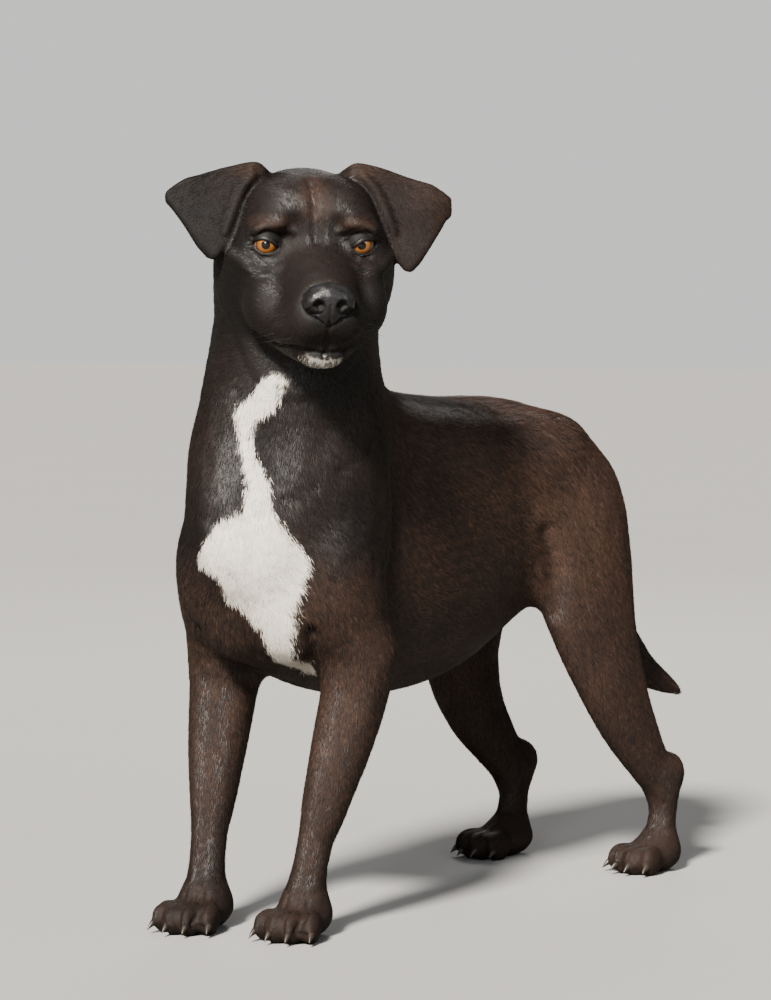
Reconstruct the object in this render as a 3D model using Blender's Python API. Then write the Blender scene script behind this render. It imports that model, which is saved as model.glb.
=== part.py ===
"""A standing dog, life size, parted into solids that meet with a hair's gap.

The body is built as clay: a block of samples that holds the distance to the surface.  Sweeps and mounds
add flesh to it and hollows take flesh away.  The head, neck, trunk, legs and paws are blocks of the same
clay, each cut along planes that it shares with its neighbours, and each becomes one closed mesh.  Lengths
are in metres and the dog faces -Y.
"""

import functools
import math

import bpy
import numpy as np
import openvdb
from mathutils import Euler, Matrix, Vector

# Clay
SCOUT_PITCH = 0.008
MARGIN = 0.012
FAR = 0.03
GAP = 0.00035
CUT_GAP = 0.00045
SETTLE = 0.0006
EVERYWHERE = ((-9, -9, -9), (9, 9, 9))

# Spacing of the samples, and the number of facets, of each kind of node
DETAIL = {
    "head": (0.0021, 1840),
    "neck": (0.0040, 420),
    "trunk": (0.0040, 1250),
    "foreleg": (0.0030, 300),
    "hindleg": (0.0030, 360),
    "forepaw": (0.0018, 320),
    "hindpaw": (0.0018, 300),
    "ear": (0.0020, 220),
    "tail": (0.0024, 170),
    "nose": (0.0013, 190),
}

# The spine bows to the dog's left, and is straight ahead at BOW_MIDDLE
BOW_RADIUS = 1.35
BOW_MIDDLE = 0.28

# Head, whose origin lies midway between the eyes
HEAD_PLACE = (0.073, -0.035, 0.645)
HEAD_YAW = 48.6
HEAD_PITCH = 11.0
EYE_SPACING = 0.0865
EYE_RADIUS = 0.0122

# Ears, in the head's frame: x and z along the fold and along the free edge that hangs from it
EAR_FOLD = ((0.046, 0.062), (0.080, 0.056), (0.112, 0.048), (0.128, 0.037))
EAR_EDGE = (
    (0.046, 0.056),
    (0.061, 0.046),
    (0.067, 0.025),
    (0.074, 0.002),
    (0.090, -0.018),
    (0.102, -0.004),
    (0.113, 0.013),
    (0.126, 0.031),
)
EAR_BACK = 0.052
EAR_FORWARD = 0.034
EAR_OUT = {1: 0.004, -1: 0.0}
EAR_DROP = {1: 0.011, -1: 0.0}

# Feet: middle of each paw in the bowed frame, from the left of the dog to its right
FORE_PAWS = {1: (0.038, 0.004), -1: (-0.068, 0.002)}
HIND_PAWS = {1: (0.090, 0.548), -1: (-0.088, 0.500)}
ELBOW = (0.0745, 0.062, 0.262)

# Toes: spacing across the paw, how far each stands ahead, and degrees of splay for each metre across
TOE_SPACING = {"fore": 0.0150, "hind": 0.0138}
TOE_AHEAD = (0.020, 0.029, 0.029, 0.020)
TOE_SPLAY = 700
PAW_LENGTH = {"fore": 1.0, "hind": 0.95}
PAW_TOP = 0.045

# Cuts: points and outward normals.  The head's are in its own frame, the others in the body's
HEAD_CUTS = (((0, 0.0602, -0.0345), (0, 0.820, -0.572)), ((0, -0.185, -0.107), (0, -0.572, -0.820)))
NECK_CUTS = (((0, 0.0402, 0.4592), (0, 0.5432, -0.8396)),)
FORELEG_CUTS = (
    ((-0.012, 0, 0), (-1, 0, 0)),
    ((-0.012, 0, 0.10), (-0.9226, 0, 0.3858)),
    ((0, 0.168, 0), (0, 0.9806, 0.1961)),
)
HINDLEG_CUTS = (
    ((0.010, 0, 0), (-1, 0, 0)),
    ((0.010, 0, 0.27), (-0.8725, 0, 0.4886)),
    ((0, 0.415, 0), (0, -0.9889, -0.1483)),
)
FORELEG_MIDDLE = 0.05
HINDLEG_MIDDLE = 0.48

BLACK = (0.018, 0.015, 0.014, 1.0)
AMBER = (0.42, 0.19, 0.05, 1.0)
NOSE_BLACK = (0.01, 0.01, 0.011, 1.0)

SIDES = {1: "left", -1: "right"}
ENDS = ("fore", "hind")


class Bow:
    """The frame of the body: x to its left, y along the bowed spine, z up."""

    def world(self, point):
        x, y, z = point
        angle = (y - BOW_MIDDLE) / BOW_RADIUS
        arm = BOW_RADIUS - x
        return Vector((BOW_RADIUS - arm * math.cos(angle), BOW_MIDDLE + arm * math.sin(angle), z))

    def local(self, x, y, z):
        arm = np.hypot(BOW_RADIUS - x, y - BOW_MIDDLE)
        angle = np.arctan2(y - BOW_MIDDLE, BOW_RADIUS - x)
        return BOW_RADIUS - arm, BOW_MIDDLE + BOW_RADIUS * angle, z

    def matrix(self, point):
        """The rigid frame that touches the bowed one at a point."""
        turn = Matrix.Rotation(-(point[1] - BOW_MIDDLE) / BOW_RADIUS, 4, "Z")
        return Matrix.Translation(self.world(point)) @ turn


class Rigid:
    """A frame that is only moved and turned."""

    def __init__(self, matrix):
        self.to_world = matrix
        self.to_local = np.array(matrix.inverted())

    def world(self, point):
        return self.to_world @ Vector(point)

    def local(self, x, y, z):
        rows = self.to_local
        return tuple(rows[k, 0] * x + rows[k, 1] * y + rows[k, 2] * z + rows[k, 3] for k in range(3))

    def matrix(self, point):
        return self.to_world @ Matrix.Translation(Vector(point))


class Clay:
    """Samples of the distance to a surface, below zero inside it."""

    def __init__(self, low, high, pitch):
        self.low = low
        self.pitch = pitch
        self.axes = [np.arange(low[k], high[k], pitch) for k in range(3)]
        self.field = np.full([len(axis) for axis in self.axes], FAR, np.float32)

    def window(self, lowest, highest):
        """The slices of the block that reach a little past two corners."""
        slices = []
        for k in range(3):
            first = int((lowest[k] - FAR - self.low[k]) / self.pitch)
            last = int((highest[k] + FAR - self.low[k]) / self.pitch) + 2
            slices.append(slice(max(0, first), max(0, min(len(self.axes[k]), last))))
        return tuple(slices)

    def points(self, window):
        x, y, z = (axis[part] for axis, part in zip(self.axes, window))
        return x[:, None, None], y[None, :, None], z[None, None, :]

    def join(self, window, shape, blend):
        old = self.field[window]
        near = np.maximum(blend - np.abs(old - shape), 0) / blend
        self.field[window] = np.minimum(old, shape) - near * near * blend / 4

    def carve(self, window, shape, blend):
        old = self.field[window]
        near = np.maximum(blend - np.abs(old + shape), 0) / blend
        self.field[window] = np.maximum(old, -shape) + near * near * blend / 4


def ellipsoid_distance(offsets, radii):
    """Close to the distance from the surface of an ellipsoid, and exact on it."""
    scaled = sum((offset / radius) ** 2 for offset, radius in zip(offsets, radii))
    steep = sum((offset / radius**2) ** 2 for offset, radius in zip(offsets, radii))
    reach = np.sqrt(scaled)
    return reach * (reach - 1) / np.sqrt(np.maximum(steep, 1e-9))


def mound(clay, frame, centre, radii, turn=(0, 0, 0), blend=0.02, hollow=False):
    """Adds an ellipsoid, turned by degrees about x, y and z, or takes one away."""
    middle = frame.world(centre)
    reach = max(radii)
    window = clay.window([c - reach for c in middle], [c + reach for c in middle])
    if not clay.field[window].size:
        return
    x, y, z = frame.local(*clay.points(window))
    arms = Euler([math.radians(a) for a in turn]).to_matrix().transposed()
    away = (x - centre[0], y - centre[1], z - centre[2])
    offsets = [sum(arm[k] * away[k] for k in range(3)) for arm in arms]
    shape = ellipsoid_distance(offsets, radii)
    (clay.carve if hollow else clay.join)(window, shape, blend)


def smooth_rows(rows, steps):
    """Rows of numbers, with steps more between each two on a curve through them."""
    rows = np.array(rows, float)
    padded = np.vstack([2 * rows[0] - rows[1], rows, 2 * rows[-1] - rows[-2]])
    out = []
    for i in range(len(rows) - 1):
        a, b, c, d = padded[i : i + 4]
        for t in np.arange(steps) / steps:
            bend = 2 * a - 5 * b + 4 * c - d
            twist = 3 * b - a - 3 * c + d
            out.append(0.5 * (2 * b + (c - a) * t + bend * t**2 + twist * t**3))
    out.append(rows[-1])
    return np.array(out)


def sweep(clay, frame, rows, blend=0.02, steps=4):
    """A tube through rows of x, y, z, half width, half height and, if given, its width's turn in degrees."""
    rows = [tuple(row) + (0,) * (6 - len(row)) for row in rows]
    path = smooth_rows(rows, steps)
    widest = path[:, 3:5].max()
    corners = np.array([frame.world(row[:3]) for row in path])
    window = clay.window(corners.min(0) - widest, corners.max(0) + widest)
    if not clay.field[window].size:
        return
    x, y, z = np.broadcast_arrays(*frame.local(*clay.points(window)))
    shape = np.full(x.shape, FAR * 2, np.float32)
    inner = [part.start for part in window]
    for start, end in zip(path[:-1], path[1:]):
        low = np.minimum(*(np.array(frame.world(row[:3])) for row in (start, end))) - widest
        high = np.maximum(*(np.array(frame.world(row[:3])) for row in (start, end))) + widest
        parts = zip(clay.window(low, high), inner)
        small = tuple(slice(part.start - first, part.stop - first) for part, first in parts)
        along = Vector(end[:3] - start[:3])
        length = max(along.length, 1e-6)
        along.normalize()
        heading = math.radians((start[5] + end[5]) / 2)
        across = Vector((math.cos(heading), math.sin(heading), 0))
        across = (across - along * across.dot(along)).normalized()
        over = along.cross(across)
        away = (x[small] - start[0], y[small] - start[1], z[small] - start[2])
        forward = sum(along[k] * away[k] for k in range(3))
        share = np.clip(forward / length, 0, 1)
        half_width = start[3] + (end[3] - start[3]) * share
        half_height = start[4] + (end[4] - start[4]) * share
        offsets = (
            sum(across[k] * away[k] for k in range(3)),
            sum(over[k] * away[k] for k in range(3)),
            forward - share * length,
        )
        radii = (half_width, half_height, np.minimum(half_width, half_height))
        shape[small] = np.minimum(shape[small], ellipsoid_distance(offsets, radii))
    clay.join(window, shape, blend)


def mesh_object(name, points, faces):
    mesh = bpy.data.meshes.new(name)
    mesh.from_pydata([tuple(p) for p in points], [], [tuple(f) for f in faces])
    mesh.update()
    obj = bpy.data.objects.new(name, mesh)
    bpy.context.collection.objects.link(obj)
    return obj


def fired(clay, name, triangles):
    """The clay's surface as a closed mesh of about that many triangles."""
    grid = openvdb.FloatGrid(FAR)
    grid.copyFromArray(clay.field.astype(np.float32))
    points, thirds, quads = grid.convertToPolygons(isovalue=0.0, adaptivity=0.0)
    points = points * clay.pitch + np.array(clay.low)
    faces = [tuple(f)[::-1] for f in thirds] + [tuple(f)[::-1] for f in quads]
    obj = mesh_object(name, points, faces)
    fix_normals(obj)
    drop_crumbs(obj)
    decimate = obj.modifiers.new("facets", "DECIMATE")
    decimate.ratio = triangles / (2 * len(obj.data.polygons))
    decimate.use_collapse_triangulate = True
    bake(obj)
    return obj


def fix_normals(obj):
    """Turns the faces outward when they face inward."""
    mesh = obj.data
    mesh.calc_loop_triangles()
    volume = 0.0
    for triangle in mesh.loop_triangles[:]:
        a, b, c = (mesh.vertices[i].co for i in triangle.vertices)
        volume += a.dot(b.cross(c))
    if volume < 0:
        mesh.flip_normals()


def drop_crumbs(obj):
    """Keeps only the largest connected piece."""
    count = len(obj.data.vertices)
    label = np.arange(count)
    edges = np.array([edge.vertices[:] for edge in obj.data.edges])
    while True:
        lowest = label.copy()
        np.minimum.at(lowest, edges[:, 0], label[edges[:, 1]])
        np.minimum.at(lowest, edges[:, 1], label[edges[:, 0]])
        lowest = lowest[lowest]
        if (lowest == label).all():
            break
        label = lowest
    names, sizes = np.unique(label, return_counts=True)
    main = names[sizes.argmax()]
    if len(names) == 1:
        return
    keep = label == main
    index = np.cumsum(keep) - 1
    points = [v.co[:] for v in obj.data.vertices if keep[v.index]]
    faces = [[index[i] for i in f.vertices] for f in obj.data.polygons if keep[f.vertices[0]]]
    obj.data.clear_geometry()
    obj.data.from_pydata(points, [], faces)
    obj.data.update()


def bake(obj):
    """Applies the modifiers."""
    graph = bpy.context.evaluated_depsgraph_get()
    mesh = bpy.data.meshes.new_from_object(obj.evaluated_get(graph))
    obj.modifiers.clear()
    old = obj.data
    obj.data = mesh
    bpy.data.meshes.remove(old)


def combine(obj, other, operation):
    """Takes the other's solid out of the mesh, or joins it on."""
    modifier = obj.modifiers.new("combine", "BOOLEAN")
    modifier.object = other
    modifier.operation = operation
    modifier.solver = "EXACT"
    bake(obj)


def copy_of(obj, name):
    twin = obj.copy()
    twin.data = obj.data.copy()
    twin.name = name
    bpy.context.collection.objects.link(twin)
    return twin


def remove(*objects):
    for obj in objects:
        bpy.data.objects.remove(obj)


def grown(obj, distance=GAP):
    """A copy whose surface lies farther out."""
    twin = copy_of(obj, obj.name + "_grown")
    normals = [v.normal.copy() for v in twin.data.vertices]
    for vertex, normal in zip(twin.data.vertices, normals):
        vertex.co += normal * distance
    twin.data.update()
    return twin


def clear_of(obj, *others):
    """Cuts from obj whatever lies inside the others or within the gap around them."""
    for other in others:
        cutter = grown(other)
        combine(obj, cutter, "DIFFERENCE")
        remove(cutter)


class Region:
    """The space inside some planes, each a point and an outward normal, mirrored for the right side."""

    def __init__(self, place, cuts, side=1):
        self.planes = []
        for point, normal in cuts:
            outward = (place.to_3x3() @ Vector((side * normal[0], normal[1], normal[2]))).normalized()
            corner = place @ Vector((side * point[0], point[1], point[2]))
            self.planes.append((outward, outward.dot(corner)))

    def distance(self, x, y, z):
        """How far points lie outside, below zero for those inside."""
        distances = (n[0] * x + n[1] * y + n[2] * z - reach for n, reach in self.planes)
        return functools.reduce(np.maximum, distances)

    def settle(self, points, kept):
        """Moves the points that lie near a cut exactly onto its face."""
        gap = CUT_GAP / 2
        outside = np.array([points @ np.array(n) - reach for n, reach in self.planes])
        nearest = outside.argmax(0)
        for k, (normal, _) in enumerate(self.planes):
            if kept:
                off = outside[k] + gap
                near = np.abs(off) < SETTLE
            else:
                off = outside[k] - gap
                near = (np.abs(off) < SETTLE) & (nearest == k)
            points[near] -= off[near, None] * np.array(normal)


def upright(middle):
    """The rigid frame that stands on the bowed one at a place along the spine, with the same y there."""
    return bow.matrix((0, middle, 0)) @ Matrix.Translation((0, -middle, 0))


def finish(obj, colour, roughness, smooth=True):
    material = bpy.data.materials.new(obj.name + "_material")
    material.use_nodes = True
    shader = material.node_tree.nodes["Principled BSDF"]
    shader.inputs["Base Color"].default_value = colour
    shader.inputs["Roughness"].default_value = roughness
    obj.data.materials.clear()
    obj.data.materials.append(material)
    for polygon in obj.data.polygons:
        polygon.use_smooth = smooth


for old in list(bpy.data.objects):
    bpy.data.objects.remove(old)

bow = Bow()
head_turn = Matrix.Rotation(math.radians(HEAD_YAW), 4, "Z") @ Matrix.Rotation(math.radians(HEAD_PITCH), 4, "X")
head_frame = Rigid(Matrix.Translation(bow.world(HEAD_PLACE)) @ head_turn)
WORLD = Rigid(Matrix.Identity(4))


def shape_trunk(clay):
    """Rows of y, top, bottom and half width along the spine."""
    rows = [
        (0.000, 0.440, 0.290, 0.066),
        (0.025, 0.490, 0.254, 0.080),
        (0.070, 0.512, 0.232, 0.085),
        (0.130, 0.518, 0.216, 0.088),
        (0.200, 0.510, 0.207, 0.094),
        (0.270, 0.504, 0.213, 0.093),
        (0.330, 0.504, 0.238, 0.086),
        (0.385, 0.504, 0.272, 0.078),
        (0.430, 0.496, 0.303, 0.070),
        (0.470, 0.474, 0.330, 0.058),
        (0.495, 0.448, 0.350, 0.044),
    ]
    sweep(clay, bow, [(0, y, (top + low) / 2, wide, (top - low) / 2) for y, top, low, wide in rows])
    for side in SIDES:
        # Shoulder blade, upper arm and the breast muscles
        mound(clay, bow, (side * 0.058, 0.062, 0.405), (0.034, 0.050, 0.088), (14, side * 6, 0))
        mound(clay, bow, (side * 0.058, 0.040, 0.345), (0.030, 0.046, 0.062), (-30, 0, 0))
        mound(clay, bow, (side * 0.030, 0.004, 0.315), (0.036, 0.036, 0.058), (0, 0, 0))
        mound(clay, bow, (side * 0.040, 0.230, 0.452), (0.042, 0.150, 0.040))
        # Haunch and buttock
        mound(clay, bow, (side * 0.042, 0.405, 0.435), (0.042, 0.070, 0.050))
        mound(clay, bow, (side * 0.046, 0.480, 0.375), (0.034, 0.040, 0.060), (-12, 0, 0))


def shape_neck(clay):
    """Rows of world points: x, y, z, half width, half depth, turn."""
    stations = [
        (head_frame.world((0, 0.062, -0.010)), 0.060, 0.060, HEAD_YAW - 2),
        (head_frame.world((-0.004, 0.068, -0.050)), 0.072, 0.070, HEAD_YAW - 10),
        (bow.world((0.016, 0.038, 0.552)), 0.079, 0.086, 22),
        (bow.world((0.006, 0.050, 0.492)), 0.084, 0.100, 12),
        (bow.world((0.000, 0.052, 0.420)), 0.088, 0.096, 10),
        (bow.world((0.000, 0.055, 0.350)), 0.080, 0.080, 10),
    ]
    sweep(clay, WORLD, [(*point, wide, deep, turn) for point, wide, deep, turn in stations], blend=0.03)
    mound(clay, bow, (0.010, 0.125, 0.480), (0.046, 0.080, 0.046), (-24, 0, 0), blend=0.04)


def shape_foreleg(clay, side):
    paw_x, paw_y = FORE_PAWS[side]
    x, y, z = ELBOW

    def down(share, height, wide, deep, back=0.0):
        """A row of the leg on the line from the elbow to the paw."""
        return (
            side * x + (paw_x - side * x) * share,
            y + (paw_y + 0.012 - y) * share + back,
            height,
            wide,
            deep,
        )

    upper = [
        (side * 0.064, 0.020, 0.352, 0.027, 0.034),
        (side * 0.070, 0.042, 0.305, 0.031, 0.040),
        (side * x, y, z, 0.030, 0.036),
    ]
    sweep(clay, bow, upper, blend=0.03)
    lower = [
        down(0.00, z, 0.030, 0.036),
        down(0.12, 0.225, 0.0325, 0.0345),
        down(0.34, 0.180, 0.0300, 0.0305),
        down(0.56, 0.140, 0.0255, 0.0260),
        down(0.68, 0.115, 0.0225, 0.0230),
        down(0.80, 0.092, 0.0185, 0.0195),
        down(0.92, 0.062, 0.0180, 0.0190),
        down(1.00, 0.035, 0.0220, 0.0220),
    ]
    sweep(clay, bow, lower, blend=0.02)
    mound(clay, bow, (side * x, y + 0.026, z - 0.004), (0.013, 0.014, 0.024), blend=0.02)


def shape_paw(clay, place, ends):
    """A pad with four toes, flat below."""
    x, y = place
    length = PAW_LENGTH[ends]
    mound(clay, bow, (x, y + 0.010, 0.019), (0.026, 0.034 * length, 0.021), blend=0.012)
    for toe, ahead in enumerate(TOE_AHEAD):
        across = (toe - 1.5) * TOE_SPACING[ends]
        middle = (x + across, y - ahead * length, 0.0145)
        mound(clay, bow, middle, (0.0098, 0.0190, 0.0160), (0, 0, across * TOE_SPLAY), blend=0.005)


def shape_hindleg(clay, side):
    paw_x, paw_y = HIND_PAWS[side]
    heel = paw_y + 0.024
    reach = paw_y - HIND_PAWS[1][1]
    thigh = [
        (side * 0.050, 0.425, 0.430, 0.036, 0.060),
        (side * 0.062, 0.450, 0.380, 0.036, 0.074),
        (side * 0.070, 0.462 + reach * 0.35, 0.325, 0.033, 0.072),
        (side * 0.077, 0.470 + reach * 0.70, 0.270, 0.029, 0.063),
        (side * 0.083, 0.489 + reach * 0.95, 0.215, 0.0250, 0.050),
        (side * 0.086, 0.514 + reach * 1.05, 0.165, 0.0210, 0.040),
        (side * 0.088, 0.547 + reach, 0.118, 0.0175, 0.029),
        (side * 0.089, 0.568 + reach, 0.090, 0.0165, 0.0225),
    ]
    sweep(clay, bow, thigh, blend=0.03)
    shank = [
        (side * 0.089, heel + 0.006, 0.104, 0.0150, 0.0200),
        (paw_x, heel, 0.070, 0.0150, 0.0170),
        (paw_x, heel - 0.006, 0.035, 0.0175, 0.0190),
    ]
    sweep(clay, bow, shank, blend=0.015)
    mound(clay, bow, (side * 0.089, heel + 0.018, 0.106), (0.010, 0.010, 0.018), (20, 0, 0), blend=0.012)


def shape_head(clay):
    frame = head_frame
    mound(clay, frame, (0, 0.062, 0.003), (0.068, 0.070, 0.055))
    muzzle = [
        (0.020, 0.004, -0.078, 0.050),
        (-0.010, 0.001, -0.080, 0.043),
        (-0.035, -0.005, -0.079, 0.037),
        (-0.055, -0.011, -0.079, 0.033),
        (-0.070, -0.018, -0.076, 0.028),
        (-0.078, -0.026, -0.070, 0.021),
    ]
    sweep(clay, frame, [(0, y, (top + low) / 2, wide, (top - low) / 2) for y, top, low, wide in muzzle])
    jaw = [
        (0, 0.045, -0.070, 0.058, 0.032),
        (0, 0.000, -0.080, 0.050, 0.022),
        (0, -0.030, -0.086, 0.038, 0.016),
        (0, -0.055, -0.089, 0.027, 0.014),
        (0, -0.072, -0.088, 0.019, 0.0125),
    ]
    sweep(clay, frame, jaw, blend=0.010)
    for side in SIDES:
        # Frontal bone, cheek and cheekbone
        mound(clay, frame, (side * 0.027, 0.028, 0.020), (0.030, 0.036, 0.032))
        mound(clay, frame, (side * 0.0495, 0.048, -0.038), (0.034, 0.048, 0.054), (0, side * 6, 0))
        mound(clay, frame, (side * 0.048, 0.014, -0.018), (0.026, 0.028, 0.018), blend=0.015)
        # Brow, the swelling round the eye, and its lids
        brow_turn = (0, side * 10, side * 15)
        mound(clay, frame, (side * 0.036, 0.003, 0.020), (0.021, 0.013, 0.009), brow_turn, blend=0.012)
        mound(clay, frame, (side * 0.0435, 0.0115, 0.000), (0.024, 0.018, 0.020), blend=0.008)
        mound(clay, frame, (side * 0.0435, 0.001, 0.0130), (0.018, 0.0125, 0.0075), blend=0.004)
        mound(clay, frame, (side * 0.0435, 0.002, -0.0130), (0.017, 0.0120, 0.0075), blend=0.004)
        # Upper lips
        mound(clay, frame, (side * 0.018, -0.064, -0.058), (0.019, 0.029, 0.023), blend=0.010)
        mound(clay, frame, (side * 0.030, -0.034, -0.065), (0.022, 0.038, 0.022), blend=0.012)


def shape_ear(clay, side):
    """A flap that folds over along its top and hangs forward, drawn in columns from the fold down."""
    columns = 26
    fold = np.array(EAR_FOLD)
    edge = np.array(EAR_EDGE)
    for x in np.linspace(fold[0, 0], fold[-1, 0], columns):
        out = (x - fold[0, 0]) / (fold[-1, 0] - fold[0, 0])
        top = np.interp(x, *fold.T)
        low = min(np.interp(x, *edge.T), top - 0.004)
        rows = []
        for step in range(4):
            z = top + (low - top) * step / 3
            y = EAR_BACK - EAR_FORWARD * ((top - z) / 0.08) ** 0.8 - 0.006 * out
            drop = EAR_DROP[side] * min(1, 2 * out) * (0.3 + 0.7 * step / 3)
            place = (side * (x + EAR_OUT[side] * out), y, z - drop)
            rows.append((*place, 0.0050, 0.0040 - 0.0004 * step))
        sweep(clay, head_frame, rows, blend=0.004, steps=3)
    root = (side * 0.062, 0.060, 0.043)
    mound(clay, head_frame, root, (0.034, 0.016, 0.018), (0, side * 16, 0), blend=0.012)


def shape_tail(clay):
    rows = [
        (0.000, 0.470, 0.455, 0.024, 0.024),
        (0.000, 0.510, 0.440, 0.022, 0.023),
        (0.000, 0.540, 0.390, 0.020, 0.021),
        (0.004, 0.556, 0.320, 0.018, 0.020),
        (0.008, 0.578, 0.250, 0.017, 0.020),
        (0.012, 0.615, 0.203, 0.014, 0.018),
        (0.016, 0.650, 0.182, 0.008, 0.011),
        (0.017, 0.668, 0.172, 0.004, 0.005),
    ]
    sweep(clay, bow, rows, blend=0.01)


def shape_nose(clay):
    frame = head_frame
    mound(clay, frame, (0, -0.088, -0.035), (0.0215, 0.014, 0.0155))
    mound(clay, frame, (0, -0.090, -0.044), (0.0120, 0.010, 0.0140), blend=0.008)
    for side in SIDES:
        mound(clay, frame, (side * 0.0130, -0.088, -0.037), (0.0105, 0.013, 0.0115), blend=0.006)
        nostril = (side * 0.0105, -0.104, -0.037)
        mound(clay, frame, nostril, (0.0050, 0.008, 0.0045), blend=0.003, hollow=True)


def ball(name, centre, radius):
    bpy.ops.mesh.primitive_uv_sphere_add(segments=16, ring_count=10, radius=radius, location=centre)
    obj = bpy.context.object
    obj.name = name
    obj.data.transform(obj.matrix_world)
    obj.matrix_world = Matrix.Identity(4)
    return obj


def claw(name, frame, base, aim, length=0.013, radius=0.0042, sides=6):
    """A short horn that curves down from its base."""
    rings = 3
    matrix = frame.matrix(base) @ Euler([math.radians(a) for a in aim]).to_matrix().to_4x4()
    points = []
    for ring in range(rings):
        share = ring / rings
        size = radius * (1 - share**1.6)
        for k in range(sides):
            turn = 2 * math.pi * k / sides
            drop = -0.0045 * share**2
            spot = (size * 0.8 * math.cos(turn), -length * share, size * math.sin(turn) + drop)
            points.append(matrix @ Vector(spot))
    points.append(matrix @ Vector((0, -length, -0.0050)))
    tip = len(points) - 1
    faces = [tuple(reversed(range(sides)))]
    for ring in range(rings - 1):
        for k in range(sides):
            a = ring * sides + k
            b = ring * sides + (k + 1) % sides
            faces.append((a, b, b + sides, a + sides))
    last = (rings - 1) * sides
    faces += [(last + k, last + (k + 1) % sides, tip) for k in range(sides)]
    obj = mesh_object(name, points, faces)
    fix_normals(obj)
    return obj


def shape_all(clay):
    """The whole dog, or as much of it as the block of clay holds."""
    shape_trunk(clay)
    shape_neck(clay)
    for side in SIDES:
        shape_foreleg(clay, side)
        shape_hindleg(clay, side)
        shape_paw(clay, FORE_PAWS[side], "fore")
        shape_paw(clay, HIND_PAWS[side], "hind")
    shape_head(clay)


def node_field(field, points, kept, left):
    """A node's share of the clay: inside every kept region, outside those left, and above the floor."""
    for region in kept:
        field = np.maximum(field, region.distance(*points) + CUT_GAP / 2)
    for region in left:
        field = np.maximum(field, CUT_GAP / 2 - region.distance(*points))
    return np.maximum(field, -points[2])


def part_node(name, kept, left):
    """Makes one node from clay of its own, just large enough for it."""
    pitch, triangles = DETAIL[name.split("_")[0]]
    points = scout.points(scout.window(*EVERYWHERE))
    share = np.argwhere(node_field(scout.field, points, kept, left) < SCOUT_PITCH)
    low = np.array(scout.low) + share.min(0) * SCOUT_PITCH - MARGIN
    high = np.array(scout.low) + share.max(0) * SCOUT_PITCH + MARGIN
    clay = Clay(low, high, pitch)
    shape_all(clay)
    clay.field = node_field(clay.field, clay.points(clay.window(*EVERYWHERE)), kept, left)
    obj = fired(clay, name, triangles)
    places = np.array([v.co[:] for v in obj.data.vertices])
    for region in kept:
        region.settle(places, True)
    for region in left:
        region.settle(places, False)
    places[np.abs(places[:, 2]) < SETTLE, 2] = 0
    for vertex, place in zip(obj.data.vertices, places):
        vertex.co = place
    obj.data.update()
    return obj


# The parted body
scout = Clay((-0.20, -0.27, -0.02), (0.26, 0.68, 0.75), SCOUT_PITCH)
shape_all(scout)
in_head = Region(head_frame.to_world, HEAD_CUTS)
in_neck = Region(upright(FORELEG_MIDDLE), NECK_CUTS)
in_paw = Region(Matrix.Identity(4), (((0, 0, PAW_TOP), (0, 0, 1)),))
nodes = {"head": part_node("head", [in_head], [])}
nodes["neck"] = part_node("neck", [in_neck], [in_head])
taken = [in_head, in_neck]
for side, word in SIDES.items():
    in_foreleg = Region(upright(FORELEG_MIDDLE), FORELEG_CUTS, side)
    in_hindleg = Region(upright(HINDLEG_MIDDLE), HINDLEG_CUTS, side)
    for ends, in_leg in zip(ENDS, (in_foreleg, in_hindleg)):
        nodes[f"{ends}leg_{word}"] = part_node(f"{ends}leg_{word}", [in_leg], [in_head, in_neck, in_paw])
        nodes[f"{ends}paw_{word}"] = part_node(f"{ends}paw_{word}", [in_leg, in_paw], [])
        taken.append(in_leg)
nodes["trunk"] = part_node("trunk", [], taken)
for leg in [nodes[f"{ends}leg_{word}"] for ends in ENDS for word in SIDES.values()]:
    clear_of(leg, nodes["trunk"])
    drop_crumbs(leg)

# Ears, tail, nose and eyes
for side, word in SIDES.items():
    pitch, triangles = DETAIL["ear"]
    middle = head_frame.world((side * 0.09, 0.03, 0.02))
    ear_clay = Clay([c - 0.12 for c in middle], [c + 0.12 for c in middle], pitch)
    shape_ear(ear_clay, side)
    nodes[f"ear_{word}"] = fired(ear_clay, f"ear_{word}", triangles)
    clear_of(nodes[f"ear_{word}"], nodes["head"], nodes["neck"])
    drop_crumbs(nodes[f"ear_{word}"])
    nodes[f"eye_{word}"] = ball(f"eye_{word}", head_frame.world((side * EYE_SPACING / 2, 0, 0)), EYE_RADIUS)

pitch, triangles = DETAIL["tail"]
tail_ends = np.array([bow.world(p) for p in ((-0.05, 0.43, 0.13), (0.09, 0.72, 0.50))])
tail_clay = Clay(tail_ends.min(0) - 0.02, tail_ends.max(0) + 0.02, pitch)
shape_tail(tail_clay)
nodes["tail"] = fired(tail_clay, "tail", triangles)
clear_of(nodes["tail"], nodes["trunk"], nodes["hindleg_left"], nodes["hindleg_right"])
drop_crumbs(nodes["tail"])

pitch, triangles = DETAIL["nose"]
nose_middle = head_frame.world((0, -0.090, -0.036))
nose_clay = Clay([c - 0.05 for c in nose_middle], [c + 0.05 for c in nose_middle], pitch)
shape_nose(nose_clay)
nodes["nose"] = fired(nose_clay, "nose", triangles)
clear_of(nodes["head"], nodes["nose"], nodes["eye_left"], nodes["eye_right"])

# Claws, each grown from its toe
for ends, paws in zip(ENDS, (FORE_PAWS, HIND_PAWS)):
    for side, word in SIDES.items():
        x, y = paws[side]
        for toe, ahead in enumerate(TOE_AHEAD):
            across = (toe - 1.5) * TOE_SPACING[ends]
            base = (x + across * 1.25, y - ahead * PAW_LENGTH[ends] - 0.0125, 0.0115)
            horn = claw("claw", bow, base, (12, 0, across * TOE_SPLAY))
            combine(nodes[f"{ends}paw_{word}"], horn, "UNION")
            remove(horn)

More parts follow.
